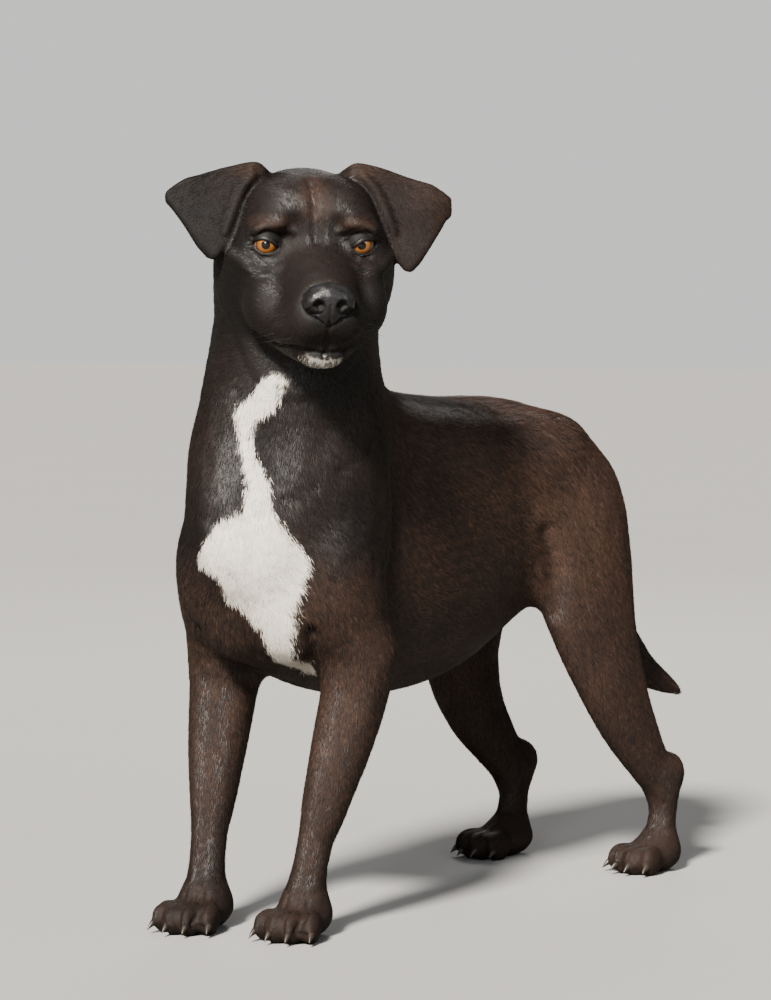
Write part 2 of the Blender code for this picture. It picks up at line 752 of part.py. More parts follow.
for name, obj in nodes.items():
    obj.name = name
    if name.startswith("eye"):
        finish(obj, AMBER, 0.1)
    elif name == "nose":
        finish(obj, NOSE_BLACK, 0.35)
    else:
        finish(obj, BLACK, 0.6)

# The origin lies under the middle of the dog
corners = np.array([v.co[:] for obj in nodes.values() for v in obj.data.vertices])
shift = Vector((*(-(corners.min(0) + corners.max(0))[:2] / 2), -corners[:, 2].min()))
for obj in nodes.values():
    obj.data.transform(Matrix.Translation(shift))
    obj.data.update()
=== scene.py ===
import math

import bmesh
import bpy
import numpy as np
import openvdb
from mathutils import Euler, Matrix, Vector


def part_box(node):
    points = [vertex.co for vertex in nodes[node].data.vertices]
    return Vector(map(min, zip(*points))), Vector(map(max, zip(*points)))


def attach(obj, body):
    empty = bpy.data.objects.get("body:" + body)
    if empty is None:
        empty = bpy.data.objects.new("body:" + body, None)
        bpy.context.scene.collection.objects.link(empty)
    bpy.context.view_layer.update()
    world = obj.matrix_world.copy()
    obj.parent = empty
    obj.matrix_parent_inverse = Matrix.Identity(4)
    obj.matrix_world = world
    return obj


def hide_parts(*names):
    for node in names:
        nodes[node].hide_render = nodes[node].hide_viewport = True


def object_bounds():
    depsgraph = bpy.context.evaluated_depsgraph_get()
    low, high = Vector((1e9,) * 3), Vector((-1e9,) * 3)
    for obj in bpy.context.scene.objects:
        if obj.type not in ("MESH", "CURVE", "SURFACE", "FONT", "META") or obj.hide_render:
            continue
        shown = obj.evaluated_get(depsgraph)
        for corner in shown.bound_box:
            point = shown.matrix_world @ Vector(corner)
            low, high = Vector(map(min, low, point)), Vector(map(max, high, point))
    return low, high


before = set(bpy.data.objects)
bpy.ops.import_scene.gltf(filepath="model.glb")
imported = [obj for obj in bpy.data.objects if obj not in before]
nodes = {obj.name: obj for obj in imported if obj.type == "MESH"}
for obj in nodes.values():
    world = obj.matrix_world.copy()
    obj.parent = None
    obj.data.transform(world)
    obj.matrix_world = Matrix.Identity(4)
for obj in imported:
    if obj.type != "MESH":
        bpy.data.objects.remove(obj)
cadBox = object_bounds()
sides = {1: "left", -1: "right"}
flesh = sorted(name for name in nodes if name != "nose" and not name.startswith("eye"))

# the frames that the forms are placed in: one along the bowed spine and one on the head
body = {
    "bowRadius": 1.35,  # the spine bows to the dog's left
    "bowMiddle": 0.28,  # where the spine points straight ahead
    "headPlace": (0.073, -0.035, 0.645),  # midway between the eyes, in the bowed frame
    "headPitch": 11.0,
}


def middleOf(name):
    low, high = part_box(name)
    return (low + high) / 2


def bowed(x, y, z):
    angle = (y - body["bowMiddle"]) / body["bowRadius"]
    arm = body["bowRadius"] - x
    ahead = body["bowMiddle"] + arm * math.sin(angle)
    return Vector((body["bowRadius"] - arm * math.cos(angle), ahead, z))


headMiddle = (middleOf("eye_left") + middleOf("eye_right")) / 2
shift = headMiddle - bowed(*body["headPlace"])
shift.z = 0
eyeAxis = (middleOf("eye_left") - middleOf("eye_right")).normalized()
headYaw = math.atan2(eyeAxis.y, eyeAxis.x)
eyeSpacing = (middleOf("eye_left") - middleOf("eye_right")).length
eyeRadius = (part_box("eye_left")[1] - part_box("eye_left")[0]).z / 2


class BowFrame:
    # x to the dog's left, y along the bowed spine from nose to tail, z up
    def world(self, point):
        return bowed(*point) + shift

    def local(self, x, y, z):
        x = x - shift.x
        y = y - shift.y
        arm = np.hypot(body["bowRadius"] - x, y - body["bowMiddle"])
        angle = np.arctan2(y - body["bowMiddle"], body["bowRadius"] - x)
        return body["bowRadius"] - arm, body["bowMiddle"] + body["bowRadius"] * angle, z

    def matrix(self, point):
        turn = Matrix.Rotation(-(point[1] - body["bowMiddle"]) / body["bowRadius"], 4, "Z")
        return Matrix.Translation(self.world(point)) @ turn


class RigidFrame:
    def __init__(self, matrix):
        self.toWorld = matrix
        self.toLocal = np.array(matrix.inverted())

    def world(self, point):
        return self.toWorld @ Vector(point)

    def local(self, x, y, z):
        rows = self.toLocal
        return tuple(rows[k, 0] * x + rows[k, 1] * y + rows[k, 2] * z + rows[k, 3] for k in range(3))

    def matrix(self, point):
        return self.toWorld @ Matrix.Translation(Vector(point))


spine = BowFrame()
headTurn = Matrix.Rotation(headYaw, 4, "Z") @ Matrix.Rotation(math.radians(body["headPitch"]), 4, "X")
head = RigidFrame(Matrix.Translation(headMiddle) @ headTurn)


def pawPlace(name):
    # middle of a paw in the bowed frame, from its node's box
    low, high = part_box(name)
    x, y, _ = spine.local((low.x + high.x) / 2, (low.y + high.y) / 2, 0)
    return float(x), float(y)


# the clay: samples of the distance to a surface, positive outside it
far = 0.03  # the largest distance that is kept
gentle = 0.2  # the least steepness, squared, that a step towards the surface reckons with


class Clay:
    def __init__(self, first, field, pitch):
        self.first = np.array(first)  # number of the first sample on each axis
        self.pitch = pitch
        self.field = field

    def axes(self):
        return [(self.first[k] + np.arange(self.field.shape[k])) * self.pitch for k in range(3)]

    def window(self, low, high, reach):
        out = []
        for k in range(3):
            start = int(math.floor((low[k] - reach) / self.pitch)) - self.first[k]
            stop = int(math.ceil((high[k] + reach) / self.pitch)) + 1 - self.first[k]
            size = self.field.shape[k]
            out.append(slice(min(max(0, start), size), min(max(0, stop), size)))
        return tuple(out)

    def points(self, window):
        x, y, z = (axis[part] for axis, part in zip(self.axes(), window))
        return x[:, None, None], y[None, :, None], z[None, None, :]

    def join(self, window, shape, blend):
        old = self.field[window]
        near = np.maximum(blend - np.abs(old - shape), 0) / blend
        self.field[window] = np.minimum(old, shape) - near * near * blend / 4

    def carve(self, window, shape, blend):
        old = self.field[window]
        near = np.maximum(blend - np.abs(old + shape), 0) / blend
        self.field[window] = np.maximum(old, -shape) + near * near * blend / 4

    def finer(self, low, high):
        # a block of the same clay with samples twice as close
        window = self.window(low, high, 0.0)
        fine = self.field[window]
        for k in range(3):
            ends = np.moveaxis(fine, k, 0)
            doubled = np.empty((2 * len(ends) - 1, *ends.shape[1:]), np.float32)
            doubled[0::2] = ends
            doubled[1::2] = (ends[1:] + ends[:-1]) / 2
            fine = np.moveaxis(doubled, 0, k)
        first = [2 * (self.first[k] + window[k].start) for k in range(3)]
        return Clay(first, np.ascontiguousarray(fine), self.pitch / 2)

    def inner(self, samples):
        # the corners of the block, less some samples at its sides
        low = (self.first + samples) * self.pitch
        high = (self.first + np.array(self.field.shape) - samples - 1) * self.pitch
        return low, high

    def sample(self, places):
        # values between the samples, and the slope there
        at = places / self.pitch - self.first
        base = np.clip(np.floor(at).astype(int), 0, np.array(self.field.shape) - 2)
        t = np.clip(at - base, 0, 1)
        corner = np.empty((2, 2, 2, len(places)))
        for i in range(2):
            for j in range(2):
                for k in range(2):
                    corner[i, j, k] = self.field[base[:, 0] + i, base[:, 1] + j, base[:, 2] + k]
        tx, ty, tz = t.T
        alongX = corner[0] * (1 - tx) + corner[1] * tx
        value = (alongX[0, 0] * (1 - ty) + alongX[1, 0] * ty) * (1 - tz)
        value += (alongX[0, 1] * (1 - ty) + alongX[1, 1] * ty) * tz
        stepX = corner[1] - corner[0]
        slopeX = (stepX[0, 0] * (1 - ty) + stepX[1, 0] * ty) * (1 - tz)
        slopeX += (stepX[0, 1] * (1 - ty) + stepX[1, 1] * ty) * tz
        slopeY = (alongX[1, 0] - alongX[0, 0]) * (1 - tz) + (alongX[1, 1] - alongX[0, 1]) * tz
        slopeZ = (alongX[0, 1] - alongX[0, 0]) * (1 - ty) + (alongX[1, 1] - alongX[1, 0]) * ty
        return value, np.stack([slopeX, slopeY, slopeZ], -1) / self.pitch


def degrees(*angles):
    return Euler([math.radians(angle) for angle in angles]).to_matrix()


def ellipsoidDistance(offsets, radii):
    scaled = sum((offset / radius) ** 2 for offset, radius in zip(offsets, radii))
    steep = sum((offset / radius**2) ** 2 for offset, radius in zip(offsets, radii))
    reach = np.sqrt(scaled)
    return reach * (reach - 1) / np.sqrt(np.maximum(steep, 1e-9))


def mound(clay, place, centre, radii, turn=(0, 0, 0), blend=0.02, hollow=False, spare=0.004):
    # adds an ellipsoid, turned by degrees about x, y and z, or takes one away
    middle = place.world(centre)
    reach = max(radii)
    window = clay.window([c - reach for c in middle], [c + reach for c in middle], blend + spare)
    if not clay.field[window].size:
        return
    x, y, z = place.local(*clay.points(window))
    away = (x - centre[0], y - centre[1], z - centre[2])
    offsets = [sum(arm[k] * away[k] for k in range(3)) for arm in degrees(*turn).transposed()]
    shape = ellipsoidDistance(offsets, radii)
    (clay.carve if hollow else clay.join)(window, shape, blend)


def smoothRows(rows, steps):
    # rows of numbers on a curve through the given ones
    rows = np.array(rows, float)
    padded = np.vstack([2 * rows[0] - rows[1], rows, 2 * rows[-1] - rows[-2]])
    out = []
    for i in range(len(rows) - 1):
        a, b, c, d = padded[i : i + 4]
        for t in np.arange(steps) / steps:
            bend = (2 * a - 5 * b + 4 * c - d) * t**2 + (3 * b - a - 3 * c + d) * t**3
            out.append(0.5 * (2 * b + (c - a) * t + bend))
    out.append(rows[-1])
    return np.array(out)


def onto(clay, places, rounds=8, stride=0.004):
    # places moved onto the clay's surface
    for _ in range(rounds):
        value, slope = clay.sample(places)
        step = np.clip(value / np.maximum((slope**2).sum(1), gentle), -stride, stride)
        places = places - slope * step[:, None]
    return places


def crease(clay, place, rows, blend=0.002, hollow=True, steps=4, spare=0.003):
    # a groove, or a ridge, on the surface nearest to points with a radius each
    path = smoothRows(rows, steps)
    radii = path[:, 3]
    corners = onto(clay, np.array([place.world(row[:3]) for row in path]))
    window = clay.window(corners.min(0) - radii.max(), corners.max(0) + radii.max(), blend + spare)
    x, y, z = np.broadcast_arrays(*clay.points(window))
    shape = np.full(x.shape, far, np.float32)
    for k, (start, end) in enumerate(zip(corners[:-1], corners[1:])):
        along = end - start
        length = max(np.linalg.norm(along), 1e-6)
        along = along / length
        away = (x - start[0], y - start[1], z - start[2])
        share = np.clip(sum(along[i] * away[i] for i in range(3)) / length, 0, 1)
        rest = [away[i] - along[i] * share * length for i in range(3)]
        radius = radii[k] + (radii[k + 1] - radii[k]) * share
        shape = np.minimum(shape, np.sqrt(sum(r * r for r in rest)) - radius)
    (clay.carve if hollow else clay.join)(window, shape, blend)


def drawForms(clay, place, forms, side=1):
    # each form's rows are x, y, z and a radius; -1 for side mirrors them
    for form in forms.values():
        rows = [(side * x, y, z, radius) for x, y, z, radius in form["rows"]]
        crease(clay, place, rows, form["blend"], not form.get("ridge"))


# the skin, which lies under the solids' faces by the coat's depth
skinSettings = {
    "triangles": 192000,  # about what it is thinned to
    "pitch": 0.0018,
    "margin": 0.016,
    "closing": 0.0005,  # bridges the gaps between the nodes
    "lightRounds": 2,  # smoothing where the form is small
    "heavyRounds": 5,  # and more of it on the large forms
    "edgeRounds": 6,  # how far one node's depth fades into the next one's
    "soleFade": 0.006,  # below this height the depth goes to nothing, so that the paws stand
    "fineReach": 0.012,  # room round the head and paws in their finer blocks
    "nape": (0.2, 0.095),  # above the first and behind the second, the mesh stays coarse
    "eyes": (0.022, 0.020, 0.012),  # the finest mesh: half width, half height, and end behind
    "muzzle": (-0.062, -0.012),  # ahead of, and under
    "mouth": (-0.015, -0.074, -0.096),  # ahead of, and between two heights
    "depth": {"head": 0.0006, "ear": 0.0003, "neck": 0.0016, "trunk": 0.0020, "foreleg": 0.0012,
              "hindleg": 0.0013, "forepaw": 0.0004, "hindpaw": 0.0004, "tail": 0.0010},
    "crisp": {"head": 1, "ear": 1.5, "neck": 0, "trunk": 0, "foreleg": 0, "hindleg": 0,
              "forepaw": 1, "hindpaw": 1, "tail": 0.5},  # 0 for the most smoothing, 2 for none
}


def softened(field, rounds):
    for _ in range(rounds):
        for k in range(3):
            ends = np.moveaxis(field, k, 0)
            ends[1:-1] = (ends[:-2] + 2 * ends[1:-1] + ends[2:]) / 4
    return field


def levelSet(points, faces, pitch, band):
    turn = openvdb.createLinearTransform(voxelSize=pitch)
    corners = {"triangles": faces} if faces.shape[1] == 3 else {"quads": faces}
    return openvdb.FloatGrid.createLevelSetFromPolygons(points, **corners, transform=turn, halfWidth=band)


def cornersOf(mesh):
    mesh.calc_loop_triangles()
    corners = np.empty(len(mesh.loop_triangles) * 3, np.int32)
    mesh.loop_triangles.foreach_get("vertices", corners)
    return corners.reshape(-1, 3)


def pointsOf(mesh):
    points = np.empty(len(mesh.vertices) * 3, np.float32)
    mesh.vertices.foreach_get("co", points)
    return points.reshape(-1, 3)


def nodeBlock(name, pitch, band, before, after):
    # samples of the distance to a node, with some more before and after its box
    mesh = nodes[name].data
    points = pointsOf(mesh)
    start = np.floor(points.min(0) / pitch).astype(int) - before
    stop = np.ceil(points.max(0) / pitch).astype(int) + after
    block = np.full(stop - start, far, np.float32)
    grid = levelSet(points, cornersOf(mesh).astype(np.uint32), pitch, band)
    grid.copyToArray(block, ijk=tuple(int(i) for i in start))
    return start, stop, block


def blockWindow(start, stop, first):
    return tuple(slice(start[k] - first[k], stop[k] - first[k]) for k in range(3))


def wholeBody():
    pitch = skinSettings["pitch"]
    margin = skinSettings["margin"]
    closing = np.float32(skinSettings["closing"])
    low = np.floor((np.array(cadBox[0]) - margin) / pitch).astype(int)
    high = np.ceil((np.array(cadBox[1]) + margin) / pitch).astype(int)
    union = np.full(high - low, far, np.float32)
    depth = np.full(high - low, skinSettings["depth"]["trunk"], np.float32)
    small = np.zeros(high - low, np.float32)
    region = np.zeros(high - low, np.uint8)
    for number, name in enumerate(flesh):
        start, stop, block = nodeBlock(name, pitch, band=4, before=5, after=6)
        window = blockWindow(start, stop, low)
        nearer = block < union[window]
        limb = name.split("_")[0]
        union[window][nearer] = block[nearer]
        depth[window][nearer] = skinSettings["depth"][limb]
        small[window][nearer] = skinSettings["crisp"][limb]
        region[window][nearer] = number
    closed = openvdb.FloatGrid(far)
    closed.copyFromArray(union - closing)
    points, _, quads = closed.convertToPolygons(isovalue=0.0, adaptivity=0.0)
    points = ((points + low) * pitch).astype(np.float32)
    field = np.full(high - low, far, np.float32)
    levelSet(points, quads, pitch, 8).copyToArray(field, ijk=tuple(int(i) for i in low))
    light = softened(field.copy(), skinSettings["lightRounds"])
    heavy = softened(light.copy(), skinSettings["heavyRounds"])
    small = softened(small, skinSettings["edgeRounds"])
    depth = softened(depth, skinSettings["edgeRounds"])
    raw = np.clip(small - 1, 0, 1)
    mild = np.clip(small, 0, 1) - raw
    field = field * raw + light * mild + heavy * (1 - raw - mild)
    height = low[2] * pitch + np.arange(field.shape[2]) * pitch
    depth = depth * np.clip(height / skinSettings["soleFade"], 0, 1)[None, None, :]
    clay = Clay(low, field + depth + closing, pitch)
    clay.region = region
    return clay


# where the upper lip meets the lower one, from the middle to the corner of the mouth
lipLine = [(0, -0.096, -0.0822), (0.006, -0.095, -0.0828), (0.014, -0.093, -0.0846),
           (0.028, -0.080, -0.0875), (0.041, -0.059, -0.0905), (0.052, -0.040, -0.0908),
           (0.060, -0.026, -0.0870)]

# the head's own forms, in its frame: origin midway between the eyes, -y ahead
faceSettings = {
    "lidThick": 0.0022,
    "opening": (0.0112, 0.0052, 0.0068),  # half width, and height above and below, of the eye's gap
    "openingTilt": 7.0,  # the outer corner lies higher
    "eyeOut": 17.0,  # each eye looks this far outward, in degrees
    "lipDepth": 0.0024,
    "flew": {"centre": (0.048, -0.016, -0.052), "radii": (0.018, 0.030, 0.026), "blend": 0.016},
    "bridge": {"centre": (0.022, -0.015, 0.015), "radii": (0.006, 0.008, 0.011), "blend": 0.014, "turn": -20},
    "shellBlend": 0.003,
    "gapRoom": 0.006,  # room round the eye that the gap is cut in
    "gapBack": 0.002,  # it is cut this far ahead of the ball's middle
    "gapBlend": 0.0010,
    "noseGap": 0.0014,  # the skin stops this far inside the nose
    "noseBlend": 0.005,
}

# the fold above the upper lid and the bag below the lower one, in the eye's frame
eyeForms = {
    "fold": {"rows": ((-0.0140, -0.0070, 0.0060, 0.0008), (0, -0.0100, 0.0128, 0.0014),
                      (0.0140, -0.0050, 0.0070, 0.0008)), "blend": 0.004},
    "bag": {"rows": ((-0.0130, -0.0070, -0.0090, 0.0006), (0, -0.0100, -0.0145, 0.0012),
                     (0.0120, -0.0060, -0.0100, 0.0006)), "blend": 0.004},
}

# on both sides of the face
faceForms = {
    "orbit": {"rows": ((0.022, -0.012, 0.013, 0.0008), (0.032, -0.012, 0.0195, 0.0022),
                       (0.046, -0.010, 0.0185, 0.0022), (0.058, 0, 0.0080, 0.0008)),
              "blend": 0.007, "ridge": True},
    "cheekbone": {"rows": ((0.034, -0.020, -0.020, 0.0010), (0.050, -0.008, -0.022, 0.0020),
                           (0.068, 0.012, -0.014, 0.0010)), "blend": 0.010, "ridge": True},
    "lip": {"rows": [(x, y, z, faceSettings["lipDepth"]) for x, y, z in lipLine], "blend": 0.0022},
    "mouthCorner": {"rows": ((0.058, -0.034, -0.0800, 0.0008), (0.063, -0.022, -0.0860, 0.0014),
                             (0.062, -0.020, -0.0950, 0.0006)), "blend": 0.004},
    "flapEdge": {"rows": ((0.052, 0.040, 0.056, 0.0020), (0.064, 0.032, 0.040, 0.0034),
                          (0.072, 0.024, 0.022, 0.0030), (0.078, 0.020, 0.008, 0.0010)),
                 "blend": 0.006, "ridge": True},
}

# down the middle: the groove under the nose and the furrow of the forehead
middleForms = {
    "philtrum": {"rows": ((0, -0.1020, -0.0530, 0.0007), (0, -0.1010, -0.0620, 0.0009),
                          (0, -0.0985, -0.0730, 0.0010), (0, -0.0960, -0.0822, 0.0014)), "blend": 0.0030},
    "furrow": {"rows": ((0, -0.022, 0.012, 0.0005), (0, -0.006, 0.034, 0.0011),
                        (0, 0.020, 0.055, 0.0005)), "blend": 0.010},
}


def eyeFrame(side):
    turn = Matrix.Rotation(math.radians(side * faceSettings["eyeOut"]), 4, "Z")
    tilt = Matrix.Rotation(math.radians(-side * faceSettings["openingTilt"]), 4, "Y")
    return RigidFrame(head.matrix((side * eyeSpacing / 2, 0, 0)) @ turn @ tilt)


def shapeEyes(clay):
    wide, upper, lower = faceSettings["opening"]
    for side in sides:
        eye = eyeFrame(side)
        drawForms(clay, eye, eyeForms)
        shell = eyeRadius + faceSettings["lidThick"]
        mound(clay, eye, (0, 0, 0), (shell, shell, shell), blend=faceSettings["shellBlend"])
        middle = eye.world((0, 0, 0))
        window = clay.window(middle, middle, eyeRadius + faceSettings["gapRoom"])
        x, y, z = eye.local(*clay.points(window))
        tall = np.where(z > 0, upper, lower)
        almond = np.sqrt((x / wide) ** 2 + (z / tall) ** 2)
        opening = np.maximum((almond - 1) * upper, y + faceSettings["gapBack"])
        clay.carve(window, opening, faceSettings["gapBlend"])


def fillBehindNose(clay):
    # the skin comes up to the nose's rim with no trench
    start, stop, block = nodeBlock("nose", clay.pitch, band=10, before=12, after=13)
    shape = block + np.float32(faceSettings["noseGap"])
    clay.join(blockWindow(start, stop, clay.first), shape, faceSettings["noseBlend"])


def shapeFace(clay):
    flew = faceSettings["flew"]
    bridge = faceSettings["bridge"]
    for side in sides:
        # the flew filled towards the cheek, and the hollow beside the bridge
        for spot, turn, hollow in ((flew, 0, False), (bridge, side * bridge["turn"], True)):
            x, y, z = spot["centre"]
            mound(clay, head, (side * x, y, z), spot["radii"], (0, turn, 0), spot["blend"], hollow)
        drawForms(clay, head, faceForms, side)
    drawForms(clay, head, middleForms)


pawSettings = {
    "toeSpacing": {"fore": 0.0150, "hind": 0.0138},
    # the clefts between the toes, drawn from the front over the top: share of the
    # toe spacing, way along and height from the paw's middle, and radius
    "cleft": ((1.15, -0.040, 0.004, 0.0016), (1.10, -0.036, 0.020, 0.0016),
              (1.00, -0.022, 0.034, 0.0012), (0.85, -0.006, 0.041, 0.0006)),
    "blend": 0.004,
}


def shapePaw(clay, name):
    x, y = pawPlace(name)
    spread = pawSettings["toeSpacing"][name[:4]]
    for gap in (-1, 0, 1):
        rows = [(x + gap * spread * share, y + along, z, radius)
                for share, along, z, radius in pawSettings["cleft"]]
        crease(clay, spine, rows, pawSettings["blend"])


# the large muscles, in the bowed frame: on both sides, then on the middle line
muscleForms = {
    "shoulder": {"rows": ((0.096, 0.108, 0.43, 0.004), (0.098, 0.112, 0.37, 0.005),
                          (0.096, 0.100, 0.31, 0.004), (0.088, 0.092, 0.27, 0.003)), "blend": 0.018},
    "flank": {"rows": ((0.088, 0.385, 0.36, 0.001), (0.086, 0.400, 0.32, 0.002),
                       (0.080, 0.405, 0.28, 0.001)), "blend": 0.020},
    "elbow": {"rows": ((0.040, -0.020, 0.34, 0.002), (0.050, -0.002, 0.30, 0.003),
                       (0.048, 0.008, 0.27, 0.002)), "blend": 0.012},
}
breastForms = {
    "breastbone": {"rows": ((0, -0.045, 0.345, 0.0010), (0, -0.042, 0.31, 0.0022),
                            (0, -0.030, 0.28, 0.0022), (0, -0.010, 0.25, 0.0010)), "blend": 0.010},
}


def shapeMuscles(clay):
    for side in sides:
        drawForms(clay, spine, muscleForms, side)
    drawForms(clay, spine, breastForms)


def fineBlocks(clay):
    reach = skinSettings["fineReach"]
    around = [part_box(name) for name in ("head", "nose", "ear_left", "ear_right")]
    face = clay.finer(np.min([low for low, high in around], 0) - reach,
                      np.max([high for low, high in around], 0) + reach)
    shapeFace(face)
    fillBehindNose(face)
    shapeEyes(face)
    blocks = [face]
    for name in flesh:
        if "paw" in name:
            low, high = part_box(name)
            block = clay.finer([c - reach for c in low], [c + reach for c in high])
            shapePaw(block, name)
            blocks.append(block)
    return blocks


def clayAt(places):
    # distance and slope from the finest block that holds each place
    value, slope = bodyClay.sample(places)
    for block in fine:
        low, high = block.inner(2)
        held = ((places > low) & (places < high)).all(1)
        if held.any():
            value[held], slope[held] = block.sample(places[held])
    return value, slope


def settle(places, rounds=6, target=0.0, stride=0.002):
    # moves places onto the skin, or to a height above it
    for _ in range(rounds):
        value, slope = clayAt(places)
        steep = np.maximum((slope**2).sum(1), gentle)
        step = np.clip((value - target) / steep, -stride, stride)
        places = places - slope * step[:, None]
    return places


def meshObject(name, points, faces, smooth=True):
    mesh = bpy.data.meshes.new(name)
    size = faces.shape[1]
    mesh.vertices.add(len(points))
    mesh.vertices.foreach_set("co", np.asarray(points, np.float32).ravel())
    mesh.loops.add(faces.size)
    mesh.loops.foreach_set("vertex_index", faces.ravel().astype(np.int32))
    mesh.polygons.add(len(faces))
    mesh.polygons.foreach_set("loop_start", np.arange(0, faces.size, size, dtype=np.int32))
    mesh.update(calc_edges=True)
    mesh.polygons.foreach_set("use_smooth", np.full(len(faces), smooth))
    obj = bpy.data.objects.new(name, mesh)
    bpy.context.collection.objects.link(obj)
    return obj


def outward(obj):
    # merges doubled points and turns the faces outward
    work = bmesh.new()
    work.from_mesh(obj.data)
    bmesh.ops.remove_doubles(work, verts=work.verts[:], dist=1e-6)
    bmesh.ops.recalc_face_normals(work, faces=work.faces[:])
    work.to_mesh(obj.data)
    work.free()


def largestPiece(count, edges):
    label = np.arange(count)
    while True:
        lowest = label.copy()
        np.minimum.at(lowest, edges[:, 0], label[edges[:, 1]])
        np.minimum.at(lowest, edges[:, 1], label[edges[:, 0]])
        lowest = lowest[lowest]
        if (lowest == label).all():
            break
        label = lowest
    found, sizes = np.unique(label, return_counts=True)
    return label == found[sizes.argmax()]


def surfaceOf(field):
    # points, counted in samples, and quads of the largest closed surface in a field
    grid = openvdb.FloatGrid(far)
    grid.copyFromArray(np.ascontiguousarray(field))
    points, _, quads = grid.convertToPolygons(isovalue=0.0, adaptivity=0.0)
    quads = quads.astype(int)
    edges = np.concatenate([quads[:, [k, k + 1]] for k in range(3)])
    keep = largestPiece(len(points), edges)
    number = np.cumsum(keep) - 1
    return points[keep], number[quads[keep[quads[:, 0]]]]


def inFineBlock(places, samples=8):
    held = np.zeros(len(places), bool)
    for block in fine:
        low, high = block.inner(samples)
        held |= ((places > low) & (places < high)).all(1)
    height, back = skinSettings["nape"]
    return held & ~((places[:, 2] > height) & (head.local(*places.T)[1] > back))


def nearFeatures(places):
    # the eyes, the end of the muzzle and the line of the mouth
    x, y, z = head.local(*places.T)
    wide, tall, behind = skinSettings["eyes"]
    eyes = (np.abs(np.abs(x) - eyeSpacing / 2) < wide) & (np.abs(z) < tall) & (y < behind)
    ahead, under = skinSettings["muzzle"]
    muzzle = (y < ahead) & (z < under)
    ahead, top, bottom = skinSettings["mouth"]
    mouth = (y < ahead) & (z < top) & (z > bottom)
    return eyes | muzzle | mouth


def divide(obj, chosen):
    # halves the edges of the faces whose middles are chosen
    middles = np.empty(len(obj.data.polygons) * 3, np.float32)
    obj.data.polygons.foreach_get("center", middles)
    held = chosen(middles.reshape(-1, 3).astype(float))
    work = bmesh.new()
    work.from_mesh(obj.data)
    work.faces.ensure_lookup_table()
    edges = {edge for i in np.flatnonzero(held) for edge in work.faces[i].edges}
    bmesh.ops.subdivide_edges(work, edges=list(edges), cuts=1, use_grid_fill=True)
    bmesh.ops.triangulate(work, faces=[f for f in work.faces if len(f.verts) > 4])
    work.to_mesh(obj.data)
    work.free()
    obj.data.update()


def thin(obj, triangles):
    # fewer facets where the surface is plain, down to about that many triangles
    obj.data.calc_loop_triangles()
    thinner = obj.modifiers.new("thinner", "DECIMATE")
    thinner.ratio = triangles / len(obj.data.loop_triangles)
    graph = bpy.context.evaluated_depsgraph_get()
    mesh = bpy.data.meshes.new_from_object(obj.evaluated_get(graph))
    obj.modifiers.clear()
    obj.data = mesh


def buildSkin():
    for block in fine:  # the base mesh sees the fine forms too
        start = (block.first // 2) - bodyClay.first
        size = (np.array(block.field.shape) + 1) // 2
        window = tuple(slice(start[k], start[k] + size[k]) for k in range(3))
        bodyClay.field[window] = block.field[::2, ::2, ::2]
    points, quads = surfaceOf(bodyClay.field[::2, ::2, ::2])
    points = points * bodyClay.pitch * 2 + bodyClay.first * bodyClay.pitch
    skin = meshObject("skin", points, quads)
    divide(skin, inFineBlock)
    divide(skin, nearFeatures)
    places = settle(pointsOf(skin.data).astype(float))
    places[:, 2] = np.maximum(places[:, 2], 0)
    skin.data.vertices.foreach_set("co", places.astype(np.float32).ravel())
    skin.data.polygons.foreach_set("use_smooth", np.full(len(skin.data.polygons), True))
    skin.data.update()
    thin(skin, skinSettings["triangles"])
    return skin


print("clay from the frame")
bodyClay = wholeBody()
shapeMuscles(bodyClay)
fine = fineBlocks(bodyClay)
print("skin")
skin = buildSkin()
skinPoints = pointsOf(skin.data).astype(float)
print("skin has", len(skin.data.vertices), "points and", len(skin.data.polygons), "faces")


